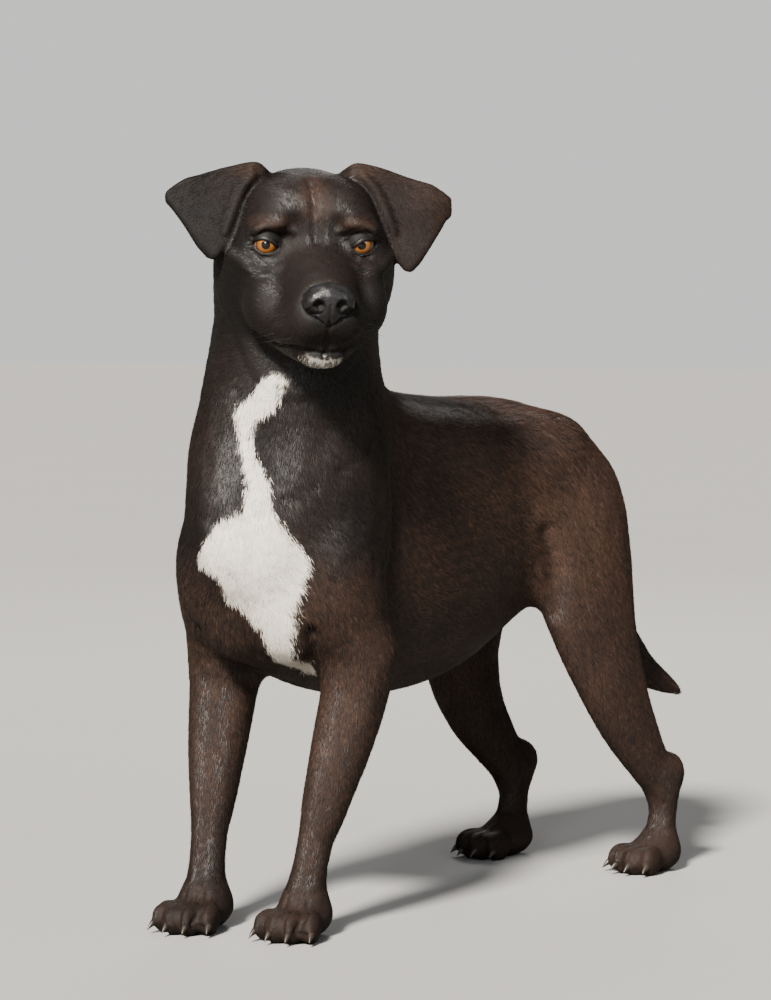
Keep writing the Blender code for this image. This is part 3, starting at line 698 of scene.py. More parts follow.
markSettings = {
    # height, middle and half width of the white bib, from the throat to the breastbone
    "bib": ((0.528, 0.036, 0.002), (0.522, 0.033, 0.008), (0.511, 0.027, 0.012), (0.5015, 0.019, 0.016),
            (0.492, 0.012, 0.015), (0.4845, 0.007, 0.009), (0.478, 0.005, 0.0065),
            (0.460, 0.0085, 0.0070), (0.431, 0.0215, 0.0080), (0.404, 0.0245, 0.0100),
            (0.392, 0.014, 0.027), (0.378, 0.012, 0.034), (0.362, 0.010, 0.044), (0.352, 0.009, 0.047),
            (0.343, 0.018, 0.033), (0.330, 0.017, 0.031), (0.318, 0.014, 0.028), (0.305, 0.018, 0.020),
            (0.293, 0.024, 0.015), (0.276, 0.020, 0.013), (0.259, 0.014, 0.010), (0.245, 0.010, 0.004)),
    "bibFront": -0.232,  # only ahead of this
    "outside": -0.05,  # stands for far from any white
    "ragged": 0.0035,  # how far the edge wanders, in waves of this size
    "raggedSize": 0.018,
    "frayed": 0.0016,
    "frayedSize": 0.006,
    "soft": 0.0026,
    "chin": ((-0.005, -0.082, -0.0985), (0.0200, 0.0190, 0.0090)),
    "chinReach": -0.02,  # up to this far outside the chin's white, the next three hold
    "chinRagged": 0.0022,
    "chinSoft": 0.0050,
    # the chin's white hairs are held to this share, which greys the chin: partly sparse white hair, partly
    # painted shade under the jaw
    "chinWhiteAndShade": 0.45,
    # brown spots on the head, over the brows and the forehead's furrow partly the coat's own brown and partly
    # painted highlight on those ridges: middle and radii
    "brow": ((0.038, -0.005, 0.020), (0.022, 0.030, 0.008)),
    "furrow": ((0, 0, 0.040), (0.014, 0.050, 0.026)),
    "ear": ((0.055, 0, 0.062), (0.030, math.inf, 0.016)),
    "earShare": 0.6,
    "face": (0.45, 0.12, 0.36),  # share of a spot, least and most brown
    "flank": 0.60,  # it comes in along the body, and up from the belly: partly the coat's sun-bleached brown, partly painted sheen where light falls on the upper flank
    "flankAlong": ((0.02, 0.16), (0, 1)),
    "flankUp": ((0.20, 0.32), (0.35, 1)),
    "leg": 0.40,
    "legUp": ((0.04, 0.20, 0.33, 0.38), (0.4, 1, 1, 0)),
    "elsewhere": 0.05,
    "headHeight": 0.50,
    "brownPatches": (0.30, 0.05),  # strength and size
    "brownFlecks": (0.35, 0.012),
    # hairless rims: how far they reach, and how far they fade
    "eyeRim": (0.0036, 0.0010),
    "lipRim": (0.0034, 0.0012),
    "noseRim": ((0.0262, 0.0262, 0.0212), 0.08),
}


def ruffle(places, size, seed):
    # smooth noise between about -1 and 1, made of a few waves
    rng = np.random.default_rng(seed)
    total = np.zeros(len(places))
    for octave in range(3):
        for _ in range(5):
            way = rng.normal(size=3)
            way *= 2 * math.pi / (size / 2**octave) / np.linalg.norm(way)
            total += np.sin(places @ way + rng.uniform(0, 2 * math.pi)) / 5 / 1.6**octave
    return total


def whiteness(places):
    # how far inside a white mark each place lies, from 0 to 1
    x, y, z = places.T
    rows = np.array(markSettings["bib"])[::-1]
    middle = np.interp(z, rows[:, 0], rows[:, 1])
    half = np.interp(z, rows[:, 0], rows[:, 2], left=-0.02, right=-0.02)
    inside = np.where(y < markSettings["bibFront"], half - np.abs(x - middle), markSettings["outside"])
    centre, radii = markSettings["chin"]
    local = head.local(x, y, z)
    chin = -ellipsoidDistance([local[k] - centre[k] for k in range(3)], radii)
    inside = np.maximum(inside, chin)
    onChin = chin > markSettings["chinReach"]
    ragged = np.where(onChin, markSettings["chinRagged"], markSettings["ragged"])
    inside = inside + ragged * ruffle(places, markSettings["raggedSize"], 5)
    inside = inside + markSettings["frayed"] * ruffle(places, markSettings["frayedSize"], 7)
    soft = np.where(onChin, markSettings["chinSoft"], markSettings["soft"])
    # on the chin the white is capped: partly sparse white hair, partly painted shade under the jaw
    return np.clip(0.5 + inside / soft / 2, 0, np.where(onChin, markSettings["chinWhiteAndShade"], 1))


def spotReach(x, y, z, name):
    # 0 in the middle of a spot and 1 at its edge
    centre, radii = markSettings[name]
    scaled = ((x - centre[0]) / radii[0]) ** 2 + ((z - centre[2]) / radii[2]) ** 2
    return np.sqrt(scaled + ((y - centre[1]) / radii[1]) ** 2)


def sunBrownAndSheen(places):
    # brown over the eyes, on the forehead, and along the flanks, thighs and legs: partly the coat's own
    # sun-bleached brown, partly painted sheen and highlight where light falls
    x, y, z = head.local(*places.T)
    x = np.abs(x)
    spots = np.maximum(1 - spotReach(x, y, z, "brow"), 1 - spotReach(x, y, z, "furrow"))
    spots = np.maximum(spots, markSettings["earShare"] - spotReach(x, y, z, "ear"))
    share, least, most = markSettings["face"]
    face = np.clip(spots * share + least, 0, most)
    x, y, z = spine.local(*places.T)
    along = np.interp(y, *markSettings["flankAlong"])
    flank = markSettings["flank"] * along * np.interp(z, *markSettings["flankUp"])
    leg = markSettings["leg"] * np.interp(z, *markSettings["legUp"])
    onHead = np.where(z > markSettings["headHeight"], face, markSettings["elsewhere"])
    brown = np.maximum(onHead, np.maximum(flank, leg))
    patches, patchSize = markSettings["brownPatches"]
    flecks, fleckSize = markSettings["brownFlecks"]
    mottle = 1 + patches * ruffle(places, patchSize, 8) + flecks * ruffle(places, fleckSize, 9)
    return np.clip(brown * mottle, 0, 1)


def bareness(places):
    # hairless rims of the eyes, lips and nose
    x, y, z = head.local(*places.T)
    eye = np.sqrt((np.abs(x) - eyeSpacing / 2) ** 2 + y**2 + z**2)
    reach, fade = markSettings["eyeRim"]
    bare = np.clip((eyeRadius + reach - eye) / fade, 0, 1)
    mouth = np.full(len(places), far)
    near = np.flatnonzero((y < -0.015) & (z < -0.06) & (z > -0.11))
    path = [head.world((side * a, b, c)) for side in sides for a, b, c in smoothRows(lipLine, 6)]
    for spot in onto(fine[0], np.array(path)):
        mouth[near] = np.minimum(mouth[near], np.linalg.norm(places[near] - spot, axis=1))
    reach, fade = markSettings["lipRim"]
    bare = np.maximum(bare, np.clip((reach - mouth) / fade, 0, 1))
    radii, fade = markSettings["noseRim"]
    nose = np.linalg.norm((places - np.array(middleOf("nose"))) / np.array(radii), axis=1)
    return np.maximum(bare, np.clip((1.0 - nose) / fade, 0, 1))


def addAttribute(obj, name, values):
    layer = obj.data.attributes.new(name, "FLOAT", "POINT")
    layer.data.foreach_set("value", np.asarray(values, np.float32))


addAttribute(skin, "white", whiteness(skinPoints))
# the tan attribute is partly the coat's own brown and partly painted sheen on the lit flanks, legs and brows
addAttribute(skin, "tanAndSheen", sunBrownAndSheen(skinPoints))
addAttribute(skin, "bare", bareness(skinPoints))
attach(skin, "root")
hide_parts(*flesh)


def put(tree, socket, value):
    # a socket takes a number or colour, or a link from another node's socket
    if isinstance(value, bpy.types.NodeSocket):
        tree.links.new(value, socket)
    else:
        socket.default_value = value


def addNode(tree, kindOfNode, sockets=None, **settings):
    node = tree.nodes.new(kindOfNode)
    for key, value in settings.items():
        setattr(node, key, value)
    for key, value in (sockets or {}).items():
        put(tree, node.inputs[key], value)
    return node


def newMaterial(name):
    material = bpy.data.materials.new(name)
    material.use_nodes = True
    return material, material.node_tree


def setShader(tree, sockets):
    for key, value in sockets.items():
        put(tree, tree.nodes["Principled BSDF"].inputs[key], value)


def onPiece(tree):
    return addNode(tree, "ShaderNodeTexCoord").outputs["Object"]


def noise(tree, place, scale, detail):
    sockets = {"Vector": place, "Scale": scale, "Detail": detail}
    return addNode(tree, "ShaderNodeTexNoise", sockets).outputs["Fac"]


def attribute(tree, name):
    return addNode(tree, "ShaderNodeAttribute", attribute_name=name).outputs["Fac"]


def multiply(tree, first, second):
    return addNode(tree, "ShaderNodeMath", {0: first, 1: second}, operation="MULTIPLY").outputs[0]


def mixColour(tree, factor, first, second):
    return addNode(tree, "ShaderNodeMix", {0: factor, 6: first, 7: second}, data_type="RGBA").outputs[2]


def ramp(tree, value, low, high, start=0.0, end=1.0):
    sockets = {"Value": value, "From Min": low, "From Max": high, "To Min": start, "To Max": end}
    return addNode(tree, "ShaderNodeMapRange", sockets).outputs["Result"]


def bumps(tree, height, strength, depth, invert=False):
    sockets = {"Height": height, "Strength": strength, "Distance": depth}
    return addNode(tree, "ShaderNodeBump", sockets, invert=invert).outputs["Normal"]


def grainyMaterial(name, plan):
    # leather or horn: two colours and fine bumps from one noise
    material, tree = newMaterial(name)
    grain = noise(tree, onPiece(tree), plan["grain"], plan["detail"])
    setShader(tree, {
        "Base Color": mixColour(tree, grain, plan["dark"], plan["pale"]),
        "Roughness": plan["roughness"],
        "Specular IOR Level": plan["gloss"],
        "Normal": bumps(tree, grain, plan["bumpiness"], plan["bumpDepth"]),
    })
    return material


coatColours = {
    "black": (0.0042, 0.0031, 0.0028, 1),
    "brown": (0.024, 0.0135, 0.0098, 1),
    # the tan colour stands both for the coat's sun-bleached brown and for painted sheen where light falls
    "tanAndSheen": (0.088, 0.044, 0.0280, 1),
    "white": (0.86, 0.83, 0.77, 1),
    "cream": (0.68, 0.60, 0.50, 1),
    "bare": (0.004, 0.0035, 0.0035, 1),
    "patches": 9.0,  # scale of the brown cast over the body, and the noise values it spans
    "cast": (0.42, 0.70),
    "tanAndSheenGain": 1.3,
    "napScale": 420.0,
    "napBump": (0.35, 0.0006),
    "skinRoughness": (0.72, 0.64),  # furred, then bare
    "skinGloss": 0.22,
    "body": (0.50, 0.42),  # roughness and gloss of the body's hair, then of the ears'
    "ears": (0.60, 0.20),
}


def coatColourGroup():
    # the dog's colours over the body, for the skin and the hairs alike
    tree = bpy.data.node_groups.new("coatColour", "ShaderNodeTree")
    for name in ("Shade", "White", "TanAndSheen"):
        tree.interface.new_socket(name, in_out="INPUT", socket_type="NodeSocketFloat")
    tree.interface.new_socket("Color", in_out="OUTPUT", socket_type="NodeSocketColor")
    given = addNode(tree, "NodeGroupInput").outputs
    cast = ramp(tree, noise(tree, onPiece(tree), coatColours["patches"], 3.0), *coatColours["cast"])
    dark = mixColour(tree, multiply(tree, cast, given["Shade"]), coatColours["black"], coatColours["brown"])
    # hair is browned by the tan attribute: partly the coat's own brown, partly painted sheen
    tanAndSheenShare = multiply(tree, multiply(tree, given["Shade"], coatColours["tanAndSheenGain"]), given["TanAndSheen"])
    dark = mixColour(tree, tanAndSheenShare, dark, coatColours["tanAndSheen"])
    pale = mixColour(tree, given["Shade"], coatColours["white"], coatColours["cream"])
    addNode(tree, "NodeGroupOutput", {"Color": mixColour(tree, given["White"], dark, pale)})
    return tree


coatColour = coatColourGroup()


def dyed(tree, shade):
    sockets = {"Shade": shade, "White": attribute(tree, "white"), "TanAndSheen": attribute(tree, "tanAndSheen")}
    return addNode(tree, "ShaderNodeGroup", sockets, node_tree=coatColour).outputs["Color"]


def skinMaterial():
    material, tree = newMaterial("shortFur")
    nap = noise(tree, onPiece(tree), coatColours["napScale"], 3.0)
    bare = attribute(tree, "bare")
    setShader(tree, {
        "Base Color": mixColour(tree, bare, dyed(tree, nap), coatColours["bare"]),
        "Roughness": ramp(tree, bare, 0.0, 1.0, *coatColours["skinRoughness"]),
        "Specular IOR Level": coatColours["skinGloss"],
        "Normal": bumps(tree, nap, *coatColours["napBump"]),
    })
    return material


def hairMaterial(name, roughness, gloss):
    material, tree = newMaterial(name)
    setShader(tree, {
        "Base Color": dyed(tree, attribute(tree, "shade")),
        "Roughness": roughness,
        "Specular IOR Level": gloss,
    })
    return material


skin.data.materials.append(skinMaterial())
glossyHair = hairMaterial("glossyHair", *coatColours["body"])
velvetHair = hairMaterial("velvetHair", *coatColours["ears"])


# how the hair lies: a place and the way it points there, mirrored to both sides
headLie = [
    ((0, -0.060, -0.005), (0, 1, 0.25)),
    ((0, 0.000, 0.030), (0, 1, 1.0)),
    ((0.015, -0.012, 0.020), (0.3, 0.5, 1.0)),
    ((0.045, -0.006, 0.022), (0.9, 0.5, 0.4)),
    ((0, 0.060, 0.066), (0, 1, 0)),
    ((0, 0.120, 0.030), (0, 0.5, -1)),
    ((0.065, 0.030, 0.020), (0.3, 1, -0.2)),
    ((0.040, -0.020, -0.030), (0.5, 1, -0.1)),
    ((0.020, -0.050, -0.020), (0.5, 1, 0.0)),
    ((0.075, 0.030, -0.040), (0.1, 1, -0.4)),
    ((0.060, 0.030, -0.090), (0, 1, -0.4)),
    ((0.035, -0.060, -0.065), (0.35, 0.8, -0.55)),
    ((0.012, -0.098, -0.058), (0.7, 0, -0.8)),
    ((0, -0.080, -0.100), (0, 0.3, -0.9)),
    ((0, 0.020, -0.120), (0, 1, -0.3)),
    ((0.050, 0.045, 0.062), (1, 0, 0.1)),
    ((0.085, 0.030, 0.035), (0.5, -0.1, -0.85)),
    ((0.092, 0.020, -0.010), (0.1, 0, -1)),
    ((0.120, 0.030, 0.040), (0.6, 0, -0.6)),
]
bodyLie = [
    ((0, 0.120, 0.600), (0, 0.6, -0.8)),
    ((0.080, 0.050, 0.500), (0, 0.3, -1)),
    ((0, -0.050, 0.480), (0, 0, -1)),
    ((0, -0.060, 0.380), (0, 0.05, -1)),
    ((0.050, -0.040, 0.360), (0.55, 0.2, -0.8)),
    ((0, -0.020, 0.270), (0, 0.6, -0.8)),
    ((0, 0.120, 0.530), (0, 1, -0.15)),
    ((0.095, 0.060, 0.420), (0, 0.45, -0.9)),
    ((0.090, 0.040, 0.320), (0, 0.5, -0.85)),
    ((0, 0.250, 0.510), (0, 1, 0)),
    ((0.100, 0.220, 0.400), (0, 0.85, -0.5)),
    ((0.090, 0.200, 0.280), (0, 0.9, -0.3)),
    ((0, 0.250, 0.205), (0, 1, 0)),
    ((0.080, 0.360, 0.360), (0, 0.8, -0.6)),
    ((0, 0.460, 0.500), (0, 1, -0.3)),
    ((0.095, 0.450, 0.360), (0, 0.35, -0.95)),
    ((0.060, 0.530, 0.360), (0, 0.3, -1)),
    ((0.030, 0.440, 0.300), (0, 0.3, -1)),
    ((0.075, 0.060, 0.260), (0, 0.25, -1)),
    ((0.060, 0.040, 0.160), (0, 0.1, -1)),
    ((0.050, 0.016, 0.080), (0, 0, -1)),
    ((0.083, 0.470, 0.250), (0, 0.5, -0.9)),
    ((0.089, 0.560, 0.110), (0, 0.1, -1)),
    ((0.089, 0.570, 0.060), (0, -0.1, -1)),
    ((0, 0.510, 0.450), (0, 0.5, -0.9)),
    ((0, 0.556, 0.320), (0, 0.1, -1)),
    ((0.012, 0.615, 0.203), (0, 0.8, -0.6)),
    ((0.017, 0.668, 0.172), (0, 1, -0.4)),
]
pawLie = [((0, -0.030, 0.030), (0, -1, -0.5)), ((0, 0.010, 0.040), (0, -0.7, -0.7))]  # from a paw's middle


def lieSeeds():
    places = []
    ways = []
    for frameOf, rows in ((head, headLie), (spine, bodyLie)):
        for (x, y, z), (wayX, wayY, wayZ) in rows:
            for side in (1, -1) if x else (1,):
                spot = (side * x, y, z)
                places.append(frameOf.world(spot))
                way = frameOf.matrix(spot).to_3x3() @ Vector((side * wayX, wayY, wayZ))
                ways.append(way.normalized())
    for name in flesh:
        if "paw" in name:
            pawX, pawY = pawPlace(name)
            for (x, y, z), way in pawLie:
                spot = (pawX + x, pawY + y, z)
                places.append(spine.world(spot))
                ways.append((spine.matrix(spot).to_3x3() @ Vector(way)).normalized())
    return np.array(places), np.array(ways)


def lieAt(places):
    # each seed's way, weighed by how near it is
    out = np.zeros_like(places)
    for spot, way in zip(*lieSeeds()):
        near = 1 / (((places - spot) ** 2).sum(1) + 0.0002) ** 2
        out += near[:, None] * way
    return out / np.linalg.norm(out, axis=1, keepdims=True)


# for each piece of coat: its nodes, hairs, and their length and width
trunkShare = {"nodes": ("trunk",), "count": 43000, "width": 0.00085}
coatPieces = {
    "coat_head": {"nodes": ("head",), "count": 48500, "length": 0.0056, "width": 0.00074, "lift": 0.00075},
    "coat_ears": {"nodes": ("ear_left", "ear_right"), "count": 21000,
                  "length": 0.0046, "width": 0.00062, "lift": 0.00065},
    "coat_neck": {"nodes": ("neck",), "count": 46000, "length": 0.0095, "width": 0.00080},
    "coat_shoulder_left": {**trunkShare, "length": 0.0095, "part": (1, -1)},
    "coat_shoulder_right": {**trunkShare, "length": 0.0095, "part": (-1, -1)},
    "coat_loin_left": {**trunkShare, "length": 0.0100, "part": (1, 1)},
    "coat_loin_right": {**trunkShare, "length": 0.0100, "part": (-1, 1)},
    "coat_forelegs": {"nodes": ("foreleg_left", "foreleg_right"), "count": 26000,
                      "length": 0.0070, "width": 0.00070},
    "coat_hindlegs": {"nodes": ("hindleg_left", "hindleg_right"), "count": 38000,
                      "length": 0.0075, "width": 0.00072},
    "coat_paws": {"nodes": ("forepaw_left", "forepaw_right", "hindpaw_left", "hindpaw_right"),
                  "count": 13000, "length": 0.0040, "width": 0.00055, "lift": 0.0005},
    "coat_tail": {"nodes": ("tail",), "count": 8000, "length": 0.0100, "width": 0.00080},
}
coatSettings = {
    "stray": 9.0,  # degrees that a hair strays from the lie
    "clump": 0.011,  # size of the locks that lean together, and how many degrees they lean
    "clumpTurn": 15.0,
    "lift": 0.0011,  # height of a tip above the skin, at most about the coat's depth
    "ridge": 0.20,  # thickness of a hair as a share of its width
    "patch": 0.003,  # size of a hair's place on the rolled out skin
    "trunkMiddle": 0.22,  # where the shoulder's coat meets the loin's
    # how the skin is rolled out: the axis, and where the roll starts and how long it is
    "headRoll": (0.02, 0.12, 0.26),
    "trunkRoll": (0.37, 0.08, 0.64),
    "earRoll": (0.02, 0.26, 0.04, 0.12),  # start and length across, then up
    "lengths": (0.65, 1.2),  # least and most, as shares of a piece's own
    "widths": (0.75, 1.25),
    "lifts": (0.25, 1.2),
    "fullLength": 0.007,  # a shorter hair stands less high
    "shade": (0.42, 0.30, 0.4),  # middle, and how far locks and single hairs depart from it
    "headGrowth": ((-0.10, -0.03, 0.05, 0.10), (0.5, 0.75, 1.1, 1.6)),  # length from the muzzle back
    "floorGap": 0.0002,
    "beard": 1.9,  # how much longer the chin's hairs are, and how much higher they stand
    "beardLift": 1.6,
    "soleHeight": 0.006,  # no hair grows below this
    "seed": 11,
}


def unwrapRound(places, name):
    # a node's skin rolled out flat: the turn round its own axis, and the way along it
    if name == "head":
        x, y, z = head.local(*places.T)
        axis, start, length = coatSettings["headRoll"]
        return np.arctan2(x, z + axis) / (2 * math.pi) + 0.5, (y + start) / length
    if name.startswith("ear"):
        x, y, z = head.local(*places.T)
        back = (clayAt(places)[1] @ np.array(head.toWorld.to_3x3() @ Vector((0, 1, 0)))) > 0
        side, wide, start, length = coatSettings["earRoll"]
        return (np.abs(x) - side) / wide + 0.5 * back, (z + start) / length
    x, y, z = spine.local(*places.T)
    if name == "trunk":
        axis, start, length = coatSettings["trunkRoll"]
        return np.arctan2(x, z - axis) / (2 * math.pi) + 0.5, (y + start) / length
    low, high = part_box(name)
    middleX, middleY = pawPlace(name)
    turn = np.arctan2(x - middleX, y - middleY) / (2 * math.pi) + 0.5
    return turn, (z - low.z) / (high.z - low.z)


def scatterRoots(plan, rng):
    # places on the skin of the plan's nodes, and the number of the node that each is on
    corners = cornersOf(skin.data)
    a, b, c = (skinPoints[corners[:, k]] for k in range(3))
    area = np.linalg.norm(np.cross(b - a, c - a), axis=1) / 2
    middle = (a + b + c) / 3
    at = np.round(middle / bodyClay.pitch).astype(int) - bodyClay.first
    region = bodyClay.region[at[:, 0], at[:, 1], at[:, 2]]
    wanted = np.isin(region, [flesh.index(node) for node in plan["nodes"]])
    if "part" in plan:
        x, y, _ = spine.local(*middle.T)
        side, end = plan["part"]
        wanted &= (x * side > 0) & ((y - coatSettings["trunkMiddle"]) * end > 0)
    bare = bareness(middle) > 0.5
    sole = middle[:, 2] < coatSettings["soleHeight"]
    chance = area * wanted * ~bare * ~sole
    count = plan["count"]
    chosen = rng.choice(len(area), count, p=chance / chance.sum())
    u = rng.random(count)
    v = rng.random(count)
    over = u + v > 1
    u[over], v[over] = 1 - u[over], 1 - v[over]
    a, b, c = (skinPoints[corners[chosen, k]] for k in range(3))
    roots = settle(a + (b - a) * u[:, None] + (c - a) * v[:, None], 2, -0.0001)
    return roots, region[chosen]


def plantCoat(name, plan, number):
    rng = np.random.default_rng(coatSettings["seed"] + number)
    roots, region = scatterRoots(plan, rng)
    count = len(roots)
    slope = clayAt(roots)[1]
    up = slope / np.linalg.norm(slope, axis=1, keepdims=True)
    lie = lieAt(roots)
    lie -= up * (lie * up).sum(1, keepdims=True)
    lie /= np.linalg.norm(lie, axis=1, keepdims=True) + 1e-9
    cross = np.cross(up, lie)
    clump = coatSettings["clumpTurn"] * ruffle(roots, coatSettings["clump"], 3)
    stray = np.radians(rng.normal(0, coatSettings["stray"], count) + clump)[:, None]
    lie = lie * np.cos(stray) + cross * np.sin(stray)
    cross = np.cross(up, lie)
    length = plan["length"] * rng.uniform(*coatSettings["lengths"], count)
    beard = np.zeros(count, bool)
    if name == "coat_head":
        _, y, z = head.local(*roots.T)
        length *= np.interp(y, *coatSettings["headGrowth"])
        beard = (y < -0.06) & (z < -0.086)
        length[beard] *= coatSettings["beard"]
    width = plan["width"] * rng.uniform(*coatSettings["widths"], count)
    width *= np.minimum(1, length / plan["length"] + 0.3)
    lift = plan.get("lift", coatSettings["lift"]) * rng.uniform(*coatSettings["lifts"], count)
    lift *= np.minimum(1, length / coatSettings["fullLength"])
    lift *= np.clip(1 + 0.5 * ruffle(roots, coatSettings["clump"], 4), 0.3, 1.7)
    lift[beard] *= coatSettings["beardLift"]
    middle, byLock, byHair = coatSettings["shade"]
    shade = middle + byLock * ruffle(roots, coatSettings["clump"] * 0.7, 6)
    shade = np.clip(shade + rng.uniform(-byHair, byHair, count), 0, 1)
    # a hair is a closed blade with three corners at its root and one at its tip
    tips = settle(roots + lie * length[:, None], 3, lift)
    half = cross * width[:, None] / 2
    ridge = up * (width * coatSettings["ridge"])[:, None]
    points = np.stack([roots + half, roots - half, roots + ridge, tips], 1).reshape(-1, 3)
    points[:, 2] = np.maximum(points[:, 2], coatSettings["floorGap"])
    first = np.arange(count)[:, None, None] * 4
    faces = (first + np.array([(0, 1, 2), (0, 3, 1), (1, 3, 2), (0, 2, 3)])[None]).reshape(-1, 3)
    coat = meshObject(name, points, faces, smooth=False)
    addAttribute(coat, "white", np.repeat(whiteness(roots) > rng.random(count), 4))
    # the hairs' tan is partly the coat's own brown and partly painted sheen on the lit flanks, legs and brows
    addAttribute(coat, "tanAndSheen", np.repeat(sunBrownAndSheen(roots), 4))
    addAttribute(coat, "shade", np.repeat(shade, 4))
    # each hair is a small patch at its root's place on the rolled out skin
    flat = np.zeros((count, 2))
    for k, node in enumerate(plan["nodes"]):
        held = region == flesh.index(node)
        if held.any():
            turn, along = unwrapRound(roots[held], node)
            across = (k + np.clip(turn, 0.01, 0.99)) / len(plan["nodes"])
            flat[held] = np.stack([across, np.clip(along, 0.01, 0.99)], -1)
    patch = np.array([(-0.5, -0.5), (0.5, -0.5), (0, -0.2), (0, 0.5)]) * coatSettings["patch"]
    corner = (flat[:, None, :] + patch[None]).reshape(-1, 2)
    layer = coat.data.uv_layers.new(name="OFBake")
    layer.data.foreach_set("uv", corner[faces.ravel()].astype(np.float32).ravel())
    coat.data.materials.append(velvetHair if name == "coat_ears" else glossyHair)
    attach(coat, "root")


print("coat")
for number, (name, plan) in enumerate(coatPieces.items()):
    plantCoat(name, plan, number)


eyeSettings = {
    "iris": 0.0089,
    "pupil": 0.0038,
    "bulge": 0.00066,  # how far the cornea stands out
    "corneaEdge": 1.12,  # its radius as a share of the iris's
    "gaze": (-0.16, 0.08),  # where both eyes look, sideways and up, ahead being 1
    "splay": 0.06,
    "rings": 48,
    "steps": 64,
    "crowding": 1.35,  # more than 1 sets the rings closer at the front
    "spokes": 9.0,  # how fine the iris's rays are
    "darkFrom": 0.72,  # where the iris darkens to its rim, as a share of its radius
    "behind": 20.0,  # stands for the back of the ball
    "amber": (0.13, 0.040, 0.008, 1),
    "honey": (0.36, 0.135, 0.024, 1),
    "rim": (0.03, 0.010, 0.003, 1),
    "hole": (0.001, 0.001, 0.001, 1),
    "sclera": (0.16, 0.09, 0.06, 1),
}


def eyeMaterial():
    # the rings of colour are measured in millimetres from the pupil's middle
    material, tree = newMaterial("amberEye")
    out = attribute(tree, "fromPupil")
    spread = multiply(tree, attribute(tree, "around"), eyeSettings["spokes"])
    place = addNode(tree, "ShaderNodeCombineXYZ", {"X": spread, "Y": out}).outputs["Vector"]
    spokes = ramp(tree, noise(tree, place, 1.0, 3.0), 0.35, 0.65)
    edge = eyeSettings["iris"] * 1000
    pupil = eyeSettings["pupil"] * 1000
    colour = mixColour(tree, spokes, eyeSettings["amber"], eyeSettings["honey"])
    colour = mixColour(tree, ramp(tree, out, edge * eyeSettings["darkFrom"], edge), colour, eyeSettings["rim"])
    colour = mixColour(tree, ramp(tree, out, pupil + 0.25, pupil - 0.15), colour, eyeSettings["hole"])
    colour = mixColour(tree, ramp(tree, out, edge, edge + 0.5), colour, eyeSettings["sclera"])
    setShader(tree, {
        "Base Color": colour,
        "Roughness": 0.25,
        "Specular IOR Level": 0.2,
        "Coat Weight": 1.0,
        "Coat Roughness": 0.02,
    })
    return material


def buildEye(side, material):
    name = f"eye_{sides[side]}"
    gaze = Vector((eyeSettings["gaze"][0] + side * eyeSettings["splay"], -1, eyeSettings["gaze"][1]))
    turned = gaze.to_track_quat("-Y", "Z").to_matrix().to_4x4()
    place = RigidFrame(head.matrix((side * eyeSpacing / 2, 0, 0)) @ turned)
    rings = eyeSettings["rings"]
    steps = eyeSettings["steps"]
    points = []
    out = []
    around = []
    for ring in range(rings + 1):
        angle = math.pi * (ring / rings) ** eyeSettings["crowding"]
        radius = eyeRadius
        flat = radius * math.sin(angle)
        ahead = angle < math.pi / 2
        if ahead:
            rise = max(0.0, 1 - (flat / (eyeSettings["iris"] * eyeSettings["corneaEdge"])) ** 2)
            radius += eyeSettings["bulge"] * rise
        for step in range(steps):
            turn = 2 * math.pi * step / steps
            tall = radius * math.sin(angle)
            spot = (tall * math.cos(turn), -radius * math.cos(angle), tall * math.sin(turn))
            points.append(place.world(spot))
            out.append(flat * 1000 if ahead else eyeSettings["behind"])
            around.append(abs(turn - math.pi))
    faces = []
    for ring in range(rings):
        for step in range(steps):
            a = ring * steps + step
            b = ring * steps + (step + 1) % steps
            faces.append((a, b, b + steps, a + steps))
    eye = meshObject(f"{name}_ball", points, np.array(faces))
    addAttribute(eye, "fromPupil", out)
    addAttribute(eye, "around", around)
    outward(eye)
    eye.data.materials.append(material)
    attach(eye, "root")
    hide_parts(name)


lidSettings = {
    "inner": 0.0003,  # room between the ball and the lid
    "thick": 0.0022,
    "upper": 0.0044,  # half heights and half width of the gap
    "lower": 0.0046,
    "corner": 0.0104,
    "taper": (0.55, 0.40),  # towards the inner and the outer corner
    "tilt": (-0.0007, 0.0006),  # the gap's height on the ball, and how much higher it is outward
    "reach": 0.0038,
    "steps": 96,
    # across the lid, from under it round its edge to where it dips below the coat
    "section": ((1.0, -0.5), (0.5, 0.0), (0.06, 0.05), (0, 0.25), (0.05, 0.6), (0.20, 0.85), (0.5, 0.95),
                (0.75, 0.9), (1.0, 0.55)),
    "dark": (0.003, 0.0024, 0.0022, 1),
    "pale": (0.009, 0.006, 0.005, 1),
    "grain": 900.0,
    "detail": 2.0,
    "roughness": 0.5,
    "gloss": 0.3,
    "bumpiness": 0.3,
    "bumpDepth": 0.0002,
}


def rimOf(turn, side):
    # the edge of the lids: an almond whose inner corner points down, in the eye's frame
    x = math.cos(turn)
    z = math.sin(turn)
    tall = lidSettings["upper"] if z > 0 else lidSettings["lower"]
    taper = 1 - lidSettings["taper"][0 if x < 0 else 1] * x * x
    rise, slant = lidSettings["tilt"]
    return side * x * lidSettings["corner"], z * tall * taper / 0.86 + rise + slant * x


